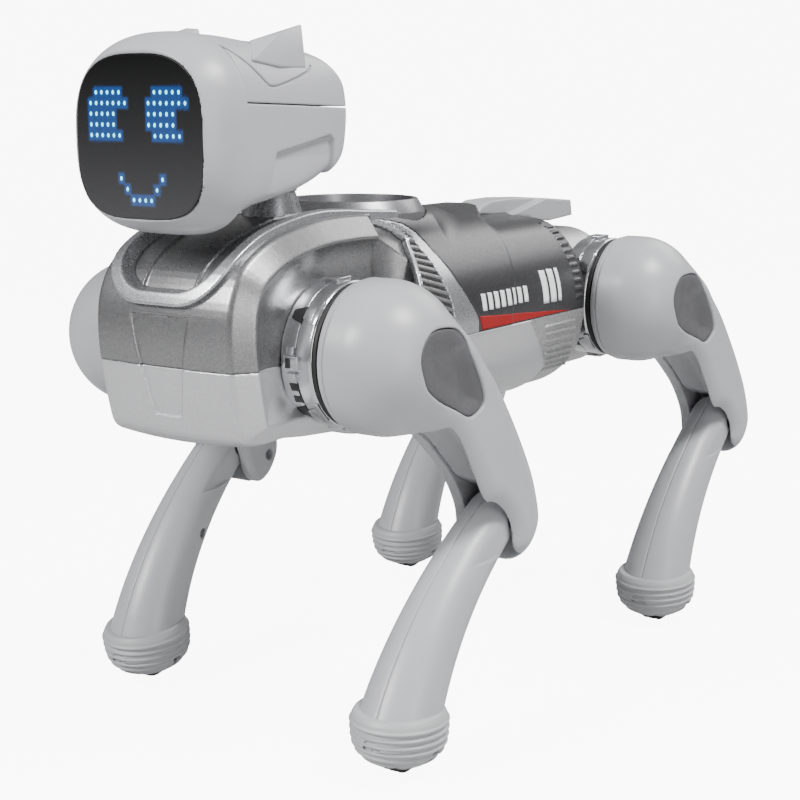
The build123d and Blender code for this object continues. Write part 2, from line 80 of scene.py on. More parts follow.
def grid_surface(values, axes, step):
    """Quads around the zero level of sampled values: one vertex in each cell that the surface crosses."""
    inside = values < 0
    nx, ny, nz = values.shape
    count = np.zeros((nx - 1, ny - 1, nz - 1), np.int8)
    for i, j, k in CORNERS:
        count += inside[i:nx - 1 + i, j:ny - 1 + j, k:nz - 1 + k]
    active = (count > 0) & (count < 8)
    cells = np.argwhere(active)
    index = np.full(active.shape, -1, np.int64)
    index[active] = np.arange(len(cells))
    total = np.zeros((len(cells), 3))
    crossed = np.zeros(len(cells))
    for a in CORNERS:
        for b in CORNERS:
            if (b - a).sum() != 1 or (b < a).any():
                continue
            fa = values[tuple((cells + a).T)]
            fb = values[tuple((cells + b).T)]
            hit = (fa < 0) != (fb < 0)
            share = fa[hit] / (fa[hit] - fb[hit])
            total[hit] += a + share[:, None] * (b - a)
            crossed[hit] += 1
    verts = np.array([axis[0] for axis in axes]) + (cells + total / crossed[:, None]) * step
    quads = []
    for axis in range(3):
        low = [slice(1, -1)] * 3
        high = [slice(1, -1)] * 3
        low[axis], high[axis] = slice(None, -1), slice(1, None)
        first, second = inside[tuple(low)], inside[tuple(high)]
        edges = np.argwhere(first != second)
        offset = np.ones(3, int)
        offset[axis] = 0
        edges_at = edges + offset
        u, v = [(1, 2), (2, 0), (0, 1)][axis]
        du, dv = np.eye(3, dtype=int)[u], np.eye(3, dtype=int)[v]
        ring = [index[tuple((edges_at - s * du - t * dv).T)] for s, t in ((1, 1), (0, 1), (0, 0), (1, 0))]
        quad = np.stack(ring, 1)
        outward = first[tuple(edges.T)]
        quads.append(np.where(outward[:, None], quad, quad[:, ::-1]))
    return verts, np.concatenate(quads)


def field_surface(field, low, high, step):
    """Surface where field(x, y, z) is zero, with its vertices pulled onto the exact surface."""
    axes = [np.arange(a - step, b + 2 * step, step) for a, b in zip(low, high)]
    x, y, z = axes[0][:, None, None], axes[1][None, :, None], axes[2][None, None, :]
    values = np.broadcast_to(field(x, y, z), [len(a) for a in axes])
    verts, quads = grid_surface(values, axes, step)
    eps = 0.04
    for _ in range(3):
        level = field(*verts.T)
        slope = np.stack([(field(*(verts + d).T) - field(*(verts - d).T)) / (2 * eps)
                          for d in np.eye(3) * eps], 1)
        move = -(level / np.maximum((slope ** 2).sum(1), 0.2))[:, None] * slope
        length = np.linalg.norm(move, axis=1)
        move *= np.minimum(1, 0.5 * step / np.maximum(length, 1e-9))[:, None]
        verts = verts + move
    return verts, quads


def field_piece(name, field, low, high, step, material, body, **more):
    verts, quads = field_surface(field, low, high, step)
    return mesh_piece(name, station(verts), quads, material, body, **more)


# ---- distances ----------------------------------------------------------------------
def blend_min(a, b, reach):
    h = np.maximum(reach - np.abs(a - b), 0) / reach
    return np.minimum(a, b) - h * h * reach / 4


def blend_max(a, b, reach):
    h = np.maximum(reach - np.abs(a - b), 0) / reach
    return np.maximum(a, b) + h * h * reach / 4


def meet(reach, *levels):
    """Intersection with edges rounded over the reach."""
    result = levels[0]
    for level in levels[1:]:
        result = blend_max(result, level, reach)
    return result


def smooth_loop(points, count=6):
    """Closed curve through points, as a finer list of points."""
    p = np.array(points, float)
    out = []
    for i in range(len(p)):
        a, b, c, d = p[i - 1], p[i], p[(i + 1) % len(p)], p[(i + 2) % len(p)]
        for t in np.arange(count) / count:
            out.append(0.5 * ((2 * b) + (c - a) * t + (2 * a - 5 * b + 4 * c - d) * t ** 2
                              + (3 * b - a - 3 * c + d) * t ** 3))
    return np.array(out)


def smooth_path(points, count=6):
    """Open curve through points, as a finer list of points."""
    p = np.array(points, float)
    p = np.vstack([2 * p[0] - p[1], p, 2 * p[-1] - p[-2]])
    out = []
    for i in range(1, len(p) - 2):
        a, b, c, d = p[i - 1:i + 3]
        for t in np.arange(count) / count:
            out.append(0.5 * ((2 * b) + (c - a) * t + (2 * a - 5 * b + 4 * c - d) * t ** 2
                              + (3 * b - a - 3 * c + d) * t ** 3))
    return np.array(out + [p[-2]])


def loop_distance(loop):
    """Signed distance to a closed 2-D loop, negative inside, as a function."""
    ends = np.roll(loop, -1, 0)

    def distance(a, b):
        best = np.full(np.broadcast(a, b).shape, 1e9)
        inside = np.zeros(best.shape, bool)
        for (pa, pb), (qa, qb) in zip(loop, ends):
            ea, eb = qa - pa, qb - pb
            wa, wb = a - pa, b - pb
            t = np.clip((wa * ea + wb * eb) / max(ea * ea + eb * eb, 1e-12), 0, 1)
            best = np.minimum(best, (wa - t * ea) ** 2 + (wb - t * eb) ** 2)
            spans = (pb <= b) != (qb <= b)
            if abs(eb) > 1e-12:
                inside ^= spans & (wa < ea * wb / eb)
        return np.where(inside, -1, 1) * np.sqrt(best)
    return distance


def rounded_rect(a, b, half_a, half_b, radius):
    qa, qb = np.abs(a) - (half_a - radius), np.abs(b) - (half_b - radius)
    return np.hypot(np.maximum(qa, 0), np.maximum(qb, 0)) + np.minimum(np.maximum(qa, qb), 0) - radius


def capsule_x(x, y, z, x0, x1, radius):
    """Round rod along X with slightly eased ends."""
    return meet(0.6, np.hypot(y, z) - radius, x0 - x, x - x1)


# ---- materials ----------------------------------------------------------------------
def new_material(name):
    material = bpy.data.materials.new(name)
    material.use_nodes = True
    nodes, links = material.node_tree.nodes, material.node_tree.links
    shader = nodes["Principled BSDF"]
    coordinates = nodes.new("ShaderNodeTexCoord")
    return material, nodes, links, shader, coordinates


def grain(nodes, links, coordinates, scale, detail=2.0):
    noise = nodes.new("ShaderNodeTexNoise")
    noise.inputs["Scale"].default_value = scale
    noise.inputs["Detail"].default_value = detail
    links.new(coordinates.outputs["Object"], noise.inputs["Vector"])
    return noise


def ramp(nodes, links, source, stops):
    node = nodes.new("ShaderNodeValToRGB")
    node.color_ramp.elements[0].position = stops[0][0]
    node.color_ramp.elements[0].color = (*stops[0][1], 1)
    node.color_ramp.elements[1].position = stops[-1][0]
    node.color_ramp.elements[1].color = (*stops[-1][1], 1)
    for position, color in stops[1:-1]:
        node.color_ramp.elements.new(position).color = (*color, 1)
    links.new(source, node.inputs["Fac"])
    return node


def shade(color, factor):
    return tuple(c * factor for c in color)


def plastic(name, color, rough=0.42, grain_scale=900, bump=0.05, coat=0.0):
    """Moulded plastic: a slightly uneven colour, a fine spark texture and a soft sheen."""
    material, nodes, links, shader, where = new_material(name)
    cloud = grain(nodes, links, where, 18)
    color_ramp = ramp(nodes, links, cloud.outputs["Fac"],
                      [(0.3, shade(color, 0.97)), (0.7, shade(color, 1.03))])
    links.new(color_ramp.outputs["Color"], shader.inputs["Base Color"])
    fine = grain(nodes, links, where, grain_scale, 3)
    rough_ramp = ramp(nodes, links, fine.outputs["Fac"],
                      [(0.3, (rough - 0.04,) * 3), (0.7, (rough + 0.04,) * 3)])
    links.new(rough_ramp.outputs["Color"], shader.inputs["Roughness"])
    bump_node = nodes.new("ShaderNodeBump")
    bump_node.inputs["Strength"].default_value = bump
    bump_node.inputs["Distance"].default_value = 0.0004
    links.new(fine.outputs["Fac"], bump_node.inputs["Height"])
    links.new(bump_node.outputs["Normal"], shader.inputs["Normal"])
    shader.inputs["Coat Weight"].default_value = coat
    shader.inputs["Coat Roughness"].default_value = 0.2
    return material


def metallic_paint(name, color, rough=0.38, metallic=0.75, flake=0.35, scale=3000, coat=0.25):
    """Paint with metal flakes: small cells of random brightness under a thin clear coat."""
    material, nodes, links, shader, where = new_material(name)
    cells = nodes.new("ShaderNodeTexVoronoi")
    cells.inputs["Scale"].default_value = scale
    links.new(where.outputs["Object"], cells.inputs["Vector"])
    split = nodes.new("ShaderNodeSeparateColor")
    links.new(cells.outputs["Color"], split.inputs["Color"])
    tone = ramp(nodes, links, split.outputs["Red"],
                [(0.0, shade(color, 1 - flake)), (0.75, color), (1.0, shade(color, 1 + 1.2 * flake))])
    links.new(tone.outputs["Color"], shader.inputs["Base Color"])
    shader.inputs["Metallic"].default_value = metallic
    rough_ramp = ramp(nodes, links, split.outputs["Green"],
                      [(0.0, (rough - 0.07,) * 3), (1.0, (rough + 0.07,) * 3)])
    links.new(rough_ramp.outputs["Color"], shader.inputs["Roughness"])
    bump_node = nodes.new("ShaderNodeBump")
    bump_node.inputs["Strength"].default_value = 0.05
    bump_node.inputs["Distance"].default_value = 0.0003
    links.new(split.outputs["Blue"], bump_node.inputs["Height"])
    links.new(bump_node.outputs["Normal"], shader.inputs["Normal"])
    shader.inputs["Coat Weight"].default_value = coat
    shader.inputs["Coat Roughness"].default_value = 0.25
    return material


def glowing(name, color, strength):
    """Lamp: brightest in the middle of its small noise cells."""
    material, nodes, links, shader, where = new_material(name)
    cloud = grain(nodes, links, where, 400)
    tone = ramp(nodes, links, cloud.outputs["Fac"], [(0.2, shade(color, 0.9)), (0.8, color)])
    links.new(tone.outputs["Color"], shader.inputs["Emission Color"])
    links.new(tone.outputs["Color"], shader.inputs["Base Color"])
    shader.inputs["Emission Strength"].default_value = strength
    return material


def smoked_lens(name):
    """Glossy dark screen, greyer towards its foot, with blue light around the lit lamps."""
    material, nodes, links, shader, where = new_material(name)
    split = nodes.new("ShaderNodeSeparateXYZ")
    links.new(where.outputs["Object"], split.inputs["Vector"])
    height = nodes.new("ShaderNodeMapRange")
    height.inputs["From Min"].default_value = 0.202
    height.inputs["From Max"].default_value = 0.258
    links.new(split.outputs["Z"], height.inputs["Value"])
    tone = ramp(nodes, links, height.outputs["Result"],
                [(0.0, (0.050, 0.050, 0.052)), (0.5, (0.022, 0.022, 0.023)), (1.0, (0.002, 0.002, 0.002))])
    links.new(tone.outputs["Color"], shader.inputs["Base Color"])
    lit = nodes.new("ShaderNodeAttribute")
    lit.attribute_name = "glow"
    color = ramp(nodes, links, lit.outputs["Fac"], [(0.0, (0.0, 0.0, 0.0)), (1.0, (0.0, 0.085, 0.38))])
    links.new(color.outputs["Color"], shader.inputs["Emission Color"])
    shader.inputs["Emission Strength"].default_value = 0.9
    shader.inputs["Roughness"].default_value = 0.3
    shader.inputs["Specular IOR Level"].default_value = 0.15
    return material


light_grey = plastic("light_grey_plastic", (0.40, 0.405, 0.42), rough=0.36)
boot_grey = plastic("boot_plastic", (0.40, 0.405, 0.415), rough=0.45)
scoop_grey = plastic("scoop_plastic", (0.085, 0.085, 0.09), rough=0.5, grain_scale=1400, bump=0.5)
silver_dark = metallic_paint("silver_dark_paint", (0.24, 0.24, 0.245), rough=0.34, metallic=0.8, flake=0.16)
silver_light = metallic_paint("silver_light_paint", (0.60, 0.605, 0.62), rough=0.36, metallic=0.7, flake=0.08)
trim_silver = metallic_paint("trim_silver_paint", (0.50, 0.505, 0.52), rough=0.32, metallic=0.85, flake=0.06)
collar_silver = metallic_paint("collar_silver_paint", (0.60, 0.605, 0.62), rough=0.2, metallic=0.9, flake=0.04)
rear_dark = metallic_paint("rear_dark_paint", (0.072, 0.072, 0.076), rough=0.4, flake=0.25)
ring_silver = metallic_paint("ring_silver_paint", (0.24, 0.24, 0.25), rough=0.36, flake=0.2)
rear_mid = metallic_paint("rear_mid_paint", (0.46, 0.46, 0.465), rough=0.42)
fin_grey = plastic("fin_plastic", (0.36, 0.365, 0.375))
rib_grey = metallic_paint("rib_grey_paint", (0.25, 0.25, 0.255), rough=0.45)
gasket_black = plastic("gasket_rubber", (0.012, 0.012, 0.012), rough=0.6)
dark_plastic = plastic("dark_plastic", (0.03, 0.03, 0.032), rough=0.5)
roller_rubber = plastic("roller_rubber", (0.05, 0.05, 0.052), rough=0.6, bump=0.15)
steel = metallic_paint("bright_steel", (0.6, 0.6, 0.6), rough=0.28, metallic=1.0, flake=0.08, coat=0)
board_green = plastic("solder_mask", (0.02, 0.16, 0.07), rough=0.3)
battery_blue = plastic("battery_wrap", (0.02, 0.06, 0.25), rough=0.25)
red_print = plastic("red_print", (0.27, 0.0, 0.0), rough=0.7)
white_print = plastic("white_print", (0.85, 0.86, 0.88), rough=0.4)
lens_black = smoked_lens("smoked_lens")
lamp_core = glowing("lamp_core", (0.16, 0.80, 1.0), 2.2)


# ---- legs ---------------------------------------------------------------------------
# One left leg about its hip centre: x outward, y rearward, z up.
DOME_R, DOME_X, DOME_DEPTH, ARM_X = 28.4, 60.4, 26.2, 86.7
KNEE, FOOT = np.array([54.0, -68.0]), np.array([-10.0, -140.5])
CALF_X = 72.3
outer_arm = loop_distance(smooth_loop([
    (0, -16), (1, -22), (5, -26.8), (11, -33.5), (18, -44.5), (24, -54.5), (29, -59.3), (35, -61),
    (41, -65), (46, -72), (47, -78), (50, -83), (57, -85.8), (65, -83), (71, -76), (72.3, -67),
    (67.5, -52), (59, -37), (49.5, -23), (40, -10.5), (31, -1), (22, 8), (8, 12), (0, 0)], 4))
inner_arm = loop_distance(smooth_loop([
    (6, -18), (9, -26), (20, -32.5), (28.5, -39.6), (38, -48.6), (45, -57.5), (50, -67), (51.5, -77),
    (54, -83), (58, -85.6), (65, -83), (71, -76), (72, -67), (68, -52), (61, -37), (52.5, -23),
    (42, -11), (28, 2), (14, 4)], 4))
channel = loop_distance(np.array([
    (6, -39), (30, -45), (54, -56.5), (60, -58.2), (64, -62.5), (65.4, -68), (64, -73.5), (62.5, -75.5), (54, -88),
    (40, -104), (20, -104), (-14, -50)], float))
upper_fold = loop_distance(np.array([
    (40, -18), (50, -44), (60, -58), (54, -66), (20, -90), (-14, -40), (6, -24)], float))
scoop = loop_distance(smooth_loop([
    (3.9, 12.2), (-4.8, 11.8), (-10.4, 7.4), (-12.2, 1.2), (-9.9, -6.0), (-6.1, -10.1), (5.7, -16.9), (14.9, -21.3), (22.2, -19.8),
    (25, -16.6), (23.2, -10.2), (18, -1.6), (15.6, 2.3), (15, 7.0), (11.4, 10.7)], 4))


def shoulder(x, y, z, radius=DOME_R):
    out = np.maximum(x - DOME_X, 0) * DOME_R / DOME_DEPTH
    return np.sqrt(out ** 2 + y * y + z * z) - radius


def thigh_skin(x, y, z):
    """Shoulder ball flowing into the arm, before anything is cut."""
    edge = 11.0
    side, face = outer_arm(y, z) + edge, x - ARM_X + edge
    arm = np.minimum(np.maximum(side, face), 0) + np.hypot(np.maximum(side, 0), np.maximum(face, 0)) - edge
    arm = meet(1.5, arm, 56 - x)
    return blend_min(shoulder(x, y, z), arm, 6.0)


def thigh_field(x, y, z):
    skin = thigh_skin(x, y, z)
    ball = shoulder(x, y, z)
    body = meet(0.9, skin, 52.7 - x)
    inner_side = np.maximum(x - 62.4, -ball + 0.05)
    body = np.maximum(body, -inner_side)
    room = meet(2.0, channel(y, z), 62.0 - x, x - 83.2)
    fold = meet(1.5, upper_fold(y, z), -inner_arm(y, z) - np.interp(x, [62, 70, 83], [0.8, 6.0, 8.5]), 62 - x, x - 83.2)
    room = np.maximum(blend_min(room, fold, 1.0), -ball + 0.3)
    body = blend_max(body, -room, 0.8)
    pocket = np.maximum(scoop(y, z), -(skin + 5.2))
    pocket = np.maximum(pocket, 60 - x)
    body = blend_max(body, -pocket, 1.0)
    boss = np.maximum(np.hypot(y, z) - 9, x - 57.5)
    return np.maximum(body, -boss)


def scoop_field(x, y, z):
    edge = scoop(y, z)
    t = np.clip(-edge / 9.5, 0, 1)
    depth = 0.9 + 3.1 * t * t * (3 - 2 * t)
    skin = thigh_skin(x, y, z)
    return meet(0.5, np.maximum(edge + 0.35, -(skin + 5.1)), skin + depth, 60 - x)


def cover_field(x, y, z):
    ball = shoulder(x, y, z)
    plate = meet(3.0, inner_arm(y, z), 56.2 - x)
    plate = meet(0.4, plate, x - 62.3)
    plate = np.maximum(plate, -ball + 0.15)
    boss = capsule_x(x, y - 66.5, z + 41, 56.5, 62.2, 3.2)
    plate = blend_min(plate, boss, 1.5)
    recess = np.maximum(np.hypot(y - 64.5, z + 75) - 2.4, x - 60.5)
    hole = np.hypot(y - 58, z + 27) - 1.9
    pit = np.maximum(hole, x - 60.5)
    return np.maximum(np.maximum(plate, -recess), -pit)


calf_points = smooth_path([(1 - t) ** 2 * np.array([54, -68.0]) + 2 * t * (1 - t) * np.array([5, -96.5])
                           + t * t * np.array([-12.3, -136.0]) for t in np.linspace(0, 1, 8)], 6)


def calf_radius(t):
    return 10.3 + 5.4 * t ** 1.3


def calf_round(x, y, z):
    shape = np.broadcast(y, z).shape
    best, at = np.full(shape, 1e9), np.zeros(shape)
    last = len(calf_points) - 1
    for i in range(last):
        (py, pz), (qy, qz) = calf_points[i], calf_points[i + 1]
        ey, ez = qy - py, qz - pz
        t = np.clip(((y - py) * ey + (z - pz) * ez) / (ey * ey + ez * ez), 0, 1)
        d = (y - py - t * ey) ** 2 + (z - pz - t * ez) ** 2
        near = d < best
        best, at = np.where(near, d, best), np.where(near, (i + t) / last, at)
    return np.sqrt(best + (x - CALF_X) ** 2) - calf_radius(at)


def calf_field(outer):
    side = 1 if outer else -1

    def field(x, y, z):
        body = meet(0.8, calf_round(x, y, z), -(z + 137), np.abs(x - CALF_X) - 9.6 - 60 * (z < -80))
        body = meet(0.25, body, side * (CALF_X - x) + 0.03)
        post = np.hypot(y - KNEE[0], z - KNEE[1]) - 4.1
        body = np.maximum(body, -post)
        if not outer:
            across = np.hypot(y - 20.5, z + 96) - 2.3
            body = np.maximum(body, -np.maximum(across, x - 71))
        return body
    return field


def boot_radius(height):
    """Radius of the ribbed boot at a height above the floor."""
    base = np.interp(height, [2.6, 3.4, 5.0, 7.0, 9.0, 11.0, 14.0, 17.0, 20.9, 22.5, 24.6],
                     [6.0, 8.2, 11.3, 13.9, 15.7, 16.9, 17.5, 17.8, 17.9, 17.5, 16.2])
    rib = 0.6 * np.cos((20.4 - height) * 2 * math.pi / 2.75) * (height > 6.3) * (height < 21.1)
    return base + rib


def boot_field(x, y, z):
    height = z + HIP_Z
    r = np.hypot(x - CALF_X, y - FOOT[0])
    body = meet(0.5, (r - boot_radius(height)) * 0.8, height - 24.2, 2.9 - height)
    slot = meet(1.0, np.abs(x - CALF_X) - 5.9, np.abs(y - FOOT[0]) - 10.6, height - 20)
    body = blend_max(body, -slot, 0.5)
    hole = np.hypot(y - FOOT[0], z - FOOT[1]) - 2.2
    return np.maximum(body, -hole)


def turned(profile, count=72):
    """Surface of revolution about X from (x, radius) points, closed if its ends lie on the axis."""
    profile = np.asarray(profile, float)
    angles = np.arange(count) * 2 * math.pi / count
    verts, rows = [], []
    for x, radius in profile:
        if radius < 1e-6:
            rows.append([len(verts)] * count)
            verts.append((x, 0, 0))
        else:
            rows.append(list(range(len(verts), len(verts) + count)))
            verts += [(x, radius * math.cos(a), radius * math.sin(a)) for a in angles]
    faces = []
    for r0, r1 in zip(rows[:-1], rows[1:]):
        for i in range(count):
            j = (i + 1) % count
            ring = [r0[i], r0[j], r1[j], r1[i]]
            kept = [v for n, v in enumerate(ring) if v not in ring[:n]]
            faces.append(kept)
    return np.array(verts, float), faces


def eased(corners, radius=0.5, steps=4):
    """Open profile with its inner corners rounded."""
    p = np.array(corners, float)
    out = [p[0]]
    for a, b, c in zip(p[:-2], p[1:-1], p[2:]):
        back, ahead = a - b, c - b
        lb, la = np.linalg.norm(back), np.linalg.norm(ahead)
        cut = min(radius, lb * 0.45, la * 0.45)
        start, end = b + back / lb * cut, b + ahead / la * cut
        for t in np.linspace(0, 1, steps):
            out.append((1 - t) ** 2 * start + 2 * t * (1 - t) * b + t * t * end)
    return np.array(out + [p[-1]])


flange_surface = turned(eased([(40.2, 3.1), (40.2, 5.9), (49.1, 5.9), (49.1, 25.6), (49.9, 27.3), (52.3, 28.0),
                               (52.65, 27.6), (52.65, 8.0), (56.8, 7.6), (56.8, 3.1), (40.2, 3.1)], 0.5))
ROLLER_TREAD = [(-5, 1.5), (-5, 8.2), (-3.6, 9.4), (-2.6, 9.5), (-2.2, 9.1), (-1.4, 9.1), (-1.0, 9.5), (1.0, 9.5),
                (1.4, 9.1), (2.2, 9.1), (2.6, 9.5), (3.6, 9.4), (5, 8.2), (5, 1.5)]
roller_surface = turned([(-13.6, 0), (-13.6, 1.45)] + list(eased(ROLLER_TREAD, 0.4)) + [(13.6, 1.45), (13.6, 0)], 64)
roller_surface[0][:] += (CALF_X, 0, 0)


def turn(points, centre, angle):
    """Points turned in the Y-Z plane about a centre."""
    c, s = math.cos(angle), math.sin(angle)
    y, z = points[:, 1] - centre[0], points[:, 2] - centre[1]
    return np.stack([points[:, 0], centre[0] + y * c - z * s, centre[1] + y * s + z * c], 1)


def leg_place(verts, leg, part):
    """Leg points about the hip centre, moved to the leg's rest place in the frame."""
    hip, knee, foot = (joint_at[f"{leg}_{j}"][1:] for j in ("hip", "knee", "foot_roll"))
    swing = math.atan2(*(knee - hip)[::-1]) - math.atan2(*KNEE[::-1])
    calf_turn = math.atan2(*(foot - knee)[::-1]) - math.atan2(*(FOOT - KNEE)[::-1])
    if part == "thigh":
        placed = turn(verts, (0, 0), swing) + (0, hip[0], hip[1])
    else:
        placed = turn(verts, KNEE, calf_turn) + (0, knee[0] - KNEE[0], knee[1] - KNEE[1])
    if leg.endswith("right"):
        placed = placed * (-1, 1, 1)
    return placed


def leg_piece(leg, node, part, surface, material, slot):
    verts, faces = surface
    if leg.endswith("right"):
        faces = [f[::-1] for f in faces]
    body = {"thigh": f"{leg}_thigh", "calf": f"{leg}_calf", "roller": f"{leg}_roller"}[part]
    return mesh_piece(f"{leg}_{node}_look", leg_place(verts, leg, part), faces, material, body,
                      slot=slot, stands_for=[f"{leg}_{node}"])


leg_surfaces = {
    "thigh_shell": ("thigh", field_surface(thigh_field, (52, -30, -88), (91, 75, 31), 0.6), light_grey, "leg_plastic"),
    "thigh_inner_cover": ("thigh", field_surface(cover_field, (55, 4, -88), (63, 75, 6), 0.6), light_grey, "leg_plastic"),
    "scoop_cap": ("thigh", field_surface(scoop_field, (62, -14, -25), (91, 31, 14), 0.5), scoop_grey, "scoop_plastic"),
    "hip_flange": ("thigh", flange_surface, light_grey, "leg_plastic"),
    "calf_outer_shell": ("calf", field_surface(calf_field(True), (72, -27, -139), (89, 66, -56), 0.6),
                         light_grey, "leg_plastic"),
    "calf_inner_shell": ("calf", field_surface(calf_field(False), (57, -27, -139), (74, 66, -56), 0.6),
                         light_grey, "leg_plastic"),
    "foot_boot": ("calf", field_surface(boot_field, (53, -30, -148), (93, 10, -121), 0.45), boot_grey, "boot_plastic"),
}
roller_here = (roller_surface[0] + (0, FOOT[0], FOOT[1]), roller_surface[1])
leg_surfaces["foot_roller"] = ("roller", roller_here, roller_rubber, "roller_black")
for leg in LEGS:
    for node, (part, surface, material, slot_name) in leg_surfaces.items():
        leg_piece(leg, node, part, surface, material, slot_name)

# ---- body ---------------------------------------------------------------------------
# The body works in stations: y counts rearward from the front hip axis.
SEAM = 148.5
RING_Y, RING_Z = 62.0, 201.5
COLLAR_R = 26.8
BARREL_R = 40.0


def step_up(value, start, length):
    """Smooth rise from 0 to 1."""
    t = np.clip((value - start) / length, 0, 1)
    return t * t * (3 - 2 * t)


def path_distance(points):
    """Distance to an open 2-D path, as a function."""
    p = np.array(points, float)

    def distance(a, b):
        best = np.full(np.broadcast(a, b).shape, 1e9)
        for (pa, pb), (qa, qb) in zip(p[:-1], p[1:]):
            ea, eb = qa - pa, qb - pb
            t = np.clip(((a - pa) * ea + (b - pb) * eb) / (ea * ea + eb * eb), 0, 1)
            best = np.minimum(best, (a - pa - t * ea) ** 2 + (b - pb - t * eb) ** 2)
        return np.sqrt(best)
    return distance


breast_line = smooth_path([(-22, 121.0), (-36, 120.8), (-44, 122.6), (-47.3, 130), (-50.9, 148.8), (-51.7, 162),
                           (-50.1, 172.6), (-44.5, 182.7), (-34.7, 189.5), (-22.3, 194), (-3, 197.4), (17.4, 198.1),
                           (34, 197.6), (62, 197)], 4)
breast_side = loop_distance(np.vstack([breast_line, [(62, 114), (-10, 119.5)]]))
bib = loop_distance(np.array([(-13.6, 167), (13.6, 167), (6.4, 130.5), (-6.4, 130.5)], float))


def barrel_skin(x, y, z):
    """Barrel, with shoulders that rise around the ring of the back deck."""
    barrel = rounded_rect(x, z - 151, 50, 42, BARREL_R)
    top = np.interp(y, [33, 62, 92, 112], [198.0, 197.4, 196.2, 193.2])
    half = np.interp(y, [33, 60, 80, 92, 112], [30.8, 31.2, 29.0, 23.0, 12.0])
    shoulders = rounded_rect(x, z - top + 20, half, 20, 8)
    return blend_min(barrel, shoulders, 9.0) + 0.35


def rim_outer(x, z):
    return rounded_rect(x, z - 230.5, 28.5, 60, 20)


def rim_inner(x, z):
    return rounded_rect(x, z - 235.5, 24.2, 60, 17)


def chest_crown(x, y, z):
    """Side outline of the chest, bulging a little towards the middle plane."""
    return breast_side(y, z) - 1.8 * (1 - np.clip(np.abs(x) / 31, 0, 1) ** 2)


def chest_skin(x, y, z):
    """Front panel, the wide chamfer band around it, and the hollow that leads down to the hip."""
    side, across = breast_side(y, z), np.abs(x)
    crown = chest_crown(x, y, z)
    band = (side * 6 + (across - 31) * 7.8) / 9.84
    sink = np.clip(-(side + 7.8) / 13, 0, 1)
    flank = 37.1 - 4.2 * (1 - (1 - sink) ** 2.4)
    behind = 29.4 + 0.031 * np.maximum(y - 34, 0) ** 2
    flank = flank + (behind - flank) * step_up(y, 29.0, 0.8)
    return meet(0.8, meet(1.2, crown, band), across - flank)


def chest_field(upper):
    def field(x, y, z):
        skin = chest_skin(x, y, z)
        crown = chest_crown(x, y, z)
        ridge = 1.0 * np.exp(-((np.abs(x) - 12.4) / 0.6) ** 2)
        depth = np.interp(y, [-40, -4], [3.6, 1.6])
        skin = blend_max(skin, -np.maximum(rim_inner(x, z) - 0.3, -(crown + depth - ridge)), 0.6)
        behind = 29.4 + 0.031 * np.maximum(y - 34, 0) ** 2
        skin = np.where(y > 34, np.maximum(np.abs(x) - behind, barrel_skin(x, y, z) + 2.3), skin)
        relief = np.maximum(np.maximum(bib(x, z), -(crown + 1.0)), y)
        body = blend_max(skin, -relief, 0.3)
        body = np.maximum(body, -(skin + 2.2 + 4.5 * step_up(y, 22, 5)))
        body = np.maximum(body, -np.maximum(np.hypot(y, z - HIP_Z) - 12, 20 - np.abs(x)))
        body = np.maximum(body, -np.maximum(np.hypot(x, y - 11) - 6.05, 180 - z))
        body = np.maximum(body, 29.45 - np.hypot(x, y - RING_Y) - 100 * (z < 186))
        cut = SEAM + 0.12 - z if upper else z - SEAM + 0.12
        return np.maximum(np.maximum(body, cut), y - 59)
    return field


def rail_field(x, y, z):
    crown = chest_crown(x, y, z)
    rise = np.interp(y, [8, 56], [2.4, 0.3])
    rail = meet(0.9, rim_outer(x, z), -rim_inner(x, z), crown - rise)
    rail = meet(0.4, rail, -(crown + 3.5), y - RING_Y)
    rail = np.maximum(rail, np.abs(x) - np.interp(y, [16, 60], [36.0, 29.5]))
    return np.maximum(rail, 29.2 - np.hypot(x, y - RING_Y))


def spun(profile, count=96):
    """Surface of revolution about Z from (height, radius) points."""
    verts, faces = turned(profile, count)
    return verts[:, (1, 2, 0)], faces


def joined(*surfaces):
    """Several surfaces as one mesh."""
    verts, faces, start = [], [], 0
    for points, polygons in surfaces:
        verts.append(points)
        faces += [tuple(int(i) + start for i in f) for f in polygons]
        start += len(points)
    return np.vstack(verts), faces


def body_piece(node, surface, material, slot, body="torso", stand=True, tag="look"):
    verts, faces = surface
    return mesh_piece(f"{node}_{tag}", station(verts), faces, material, body, slot=slot,
                      stands_for=[node] if stand else ())


tail_line = loop_distance(np.array([
    (146, 189.5), (149, 192.6), (158, 194.9), (175, 195.2), (200, 194), (227, 191.6), (228.5, 184), (207, 182.8),
    (190, 184.5), (187, 186), (154, 189)], float))


def tail_field(x, y, z):
    """Flat tail fin that widens behind a slanting fold."""
    half = 7.3 + 2.6 * step_up(y - 173 - (z - 188.3) * 5.3, -3.0, 6.0)
    return meet(1.2, tail_line(y, z), np.abs(x) - half)


body_piece("chest_upper_shell", field_surface(chest_field(True), (-48, -56, 147), (48, 60, 201), 0.55),
           silver_dark, "silver_dark")
body_piece("chest_lower_shell", field_surface(chest_field(False), (-48, -55, 112), (48, 60, 150), 0.6),
           silver_light, "silver_light")
ring_profile = eased([(190, 0), (190, 24.6), (201.5, 24.6), (201.5, 26.4), (196.4, 29.4), (188, 29.4), (188, 0)], 0.35)
ring_surface = spun(ring_profile)
ring_surface = (ring_surface[0] + (0, RING_Y, 0), ring_surface[1])
rails = field_surface(rail_field, (-30, -56, 168), (30, 62, 203), 0.5)
body_piece("back_deck", ring_surface, ring_silver, "trim_silver")
body_piece("back_deck", rails, trim_silver, "trim_silver", stand=False, tag="rails")

# barrel: curves that part its skins are given as (y, z) on the outside of the barrel


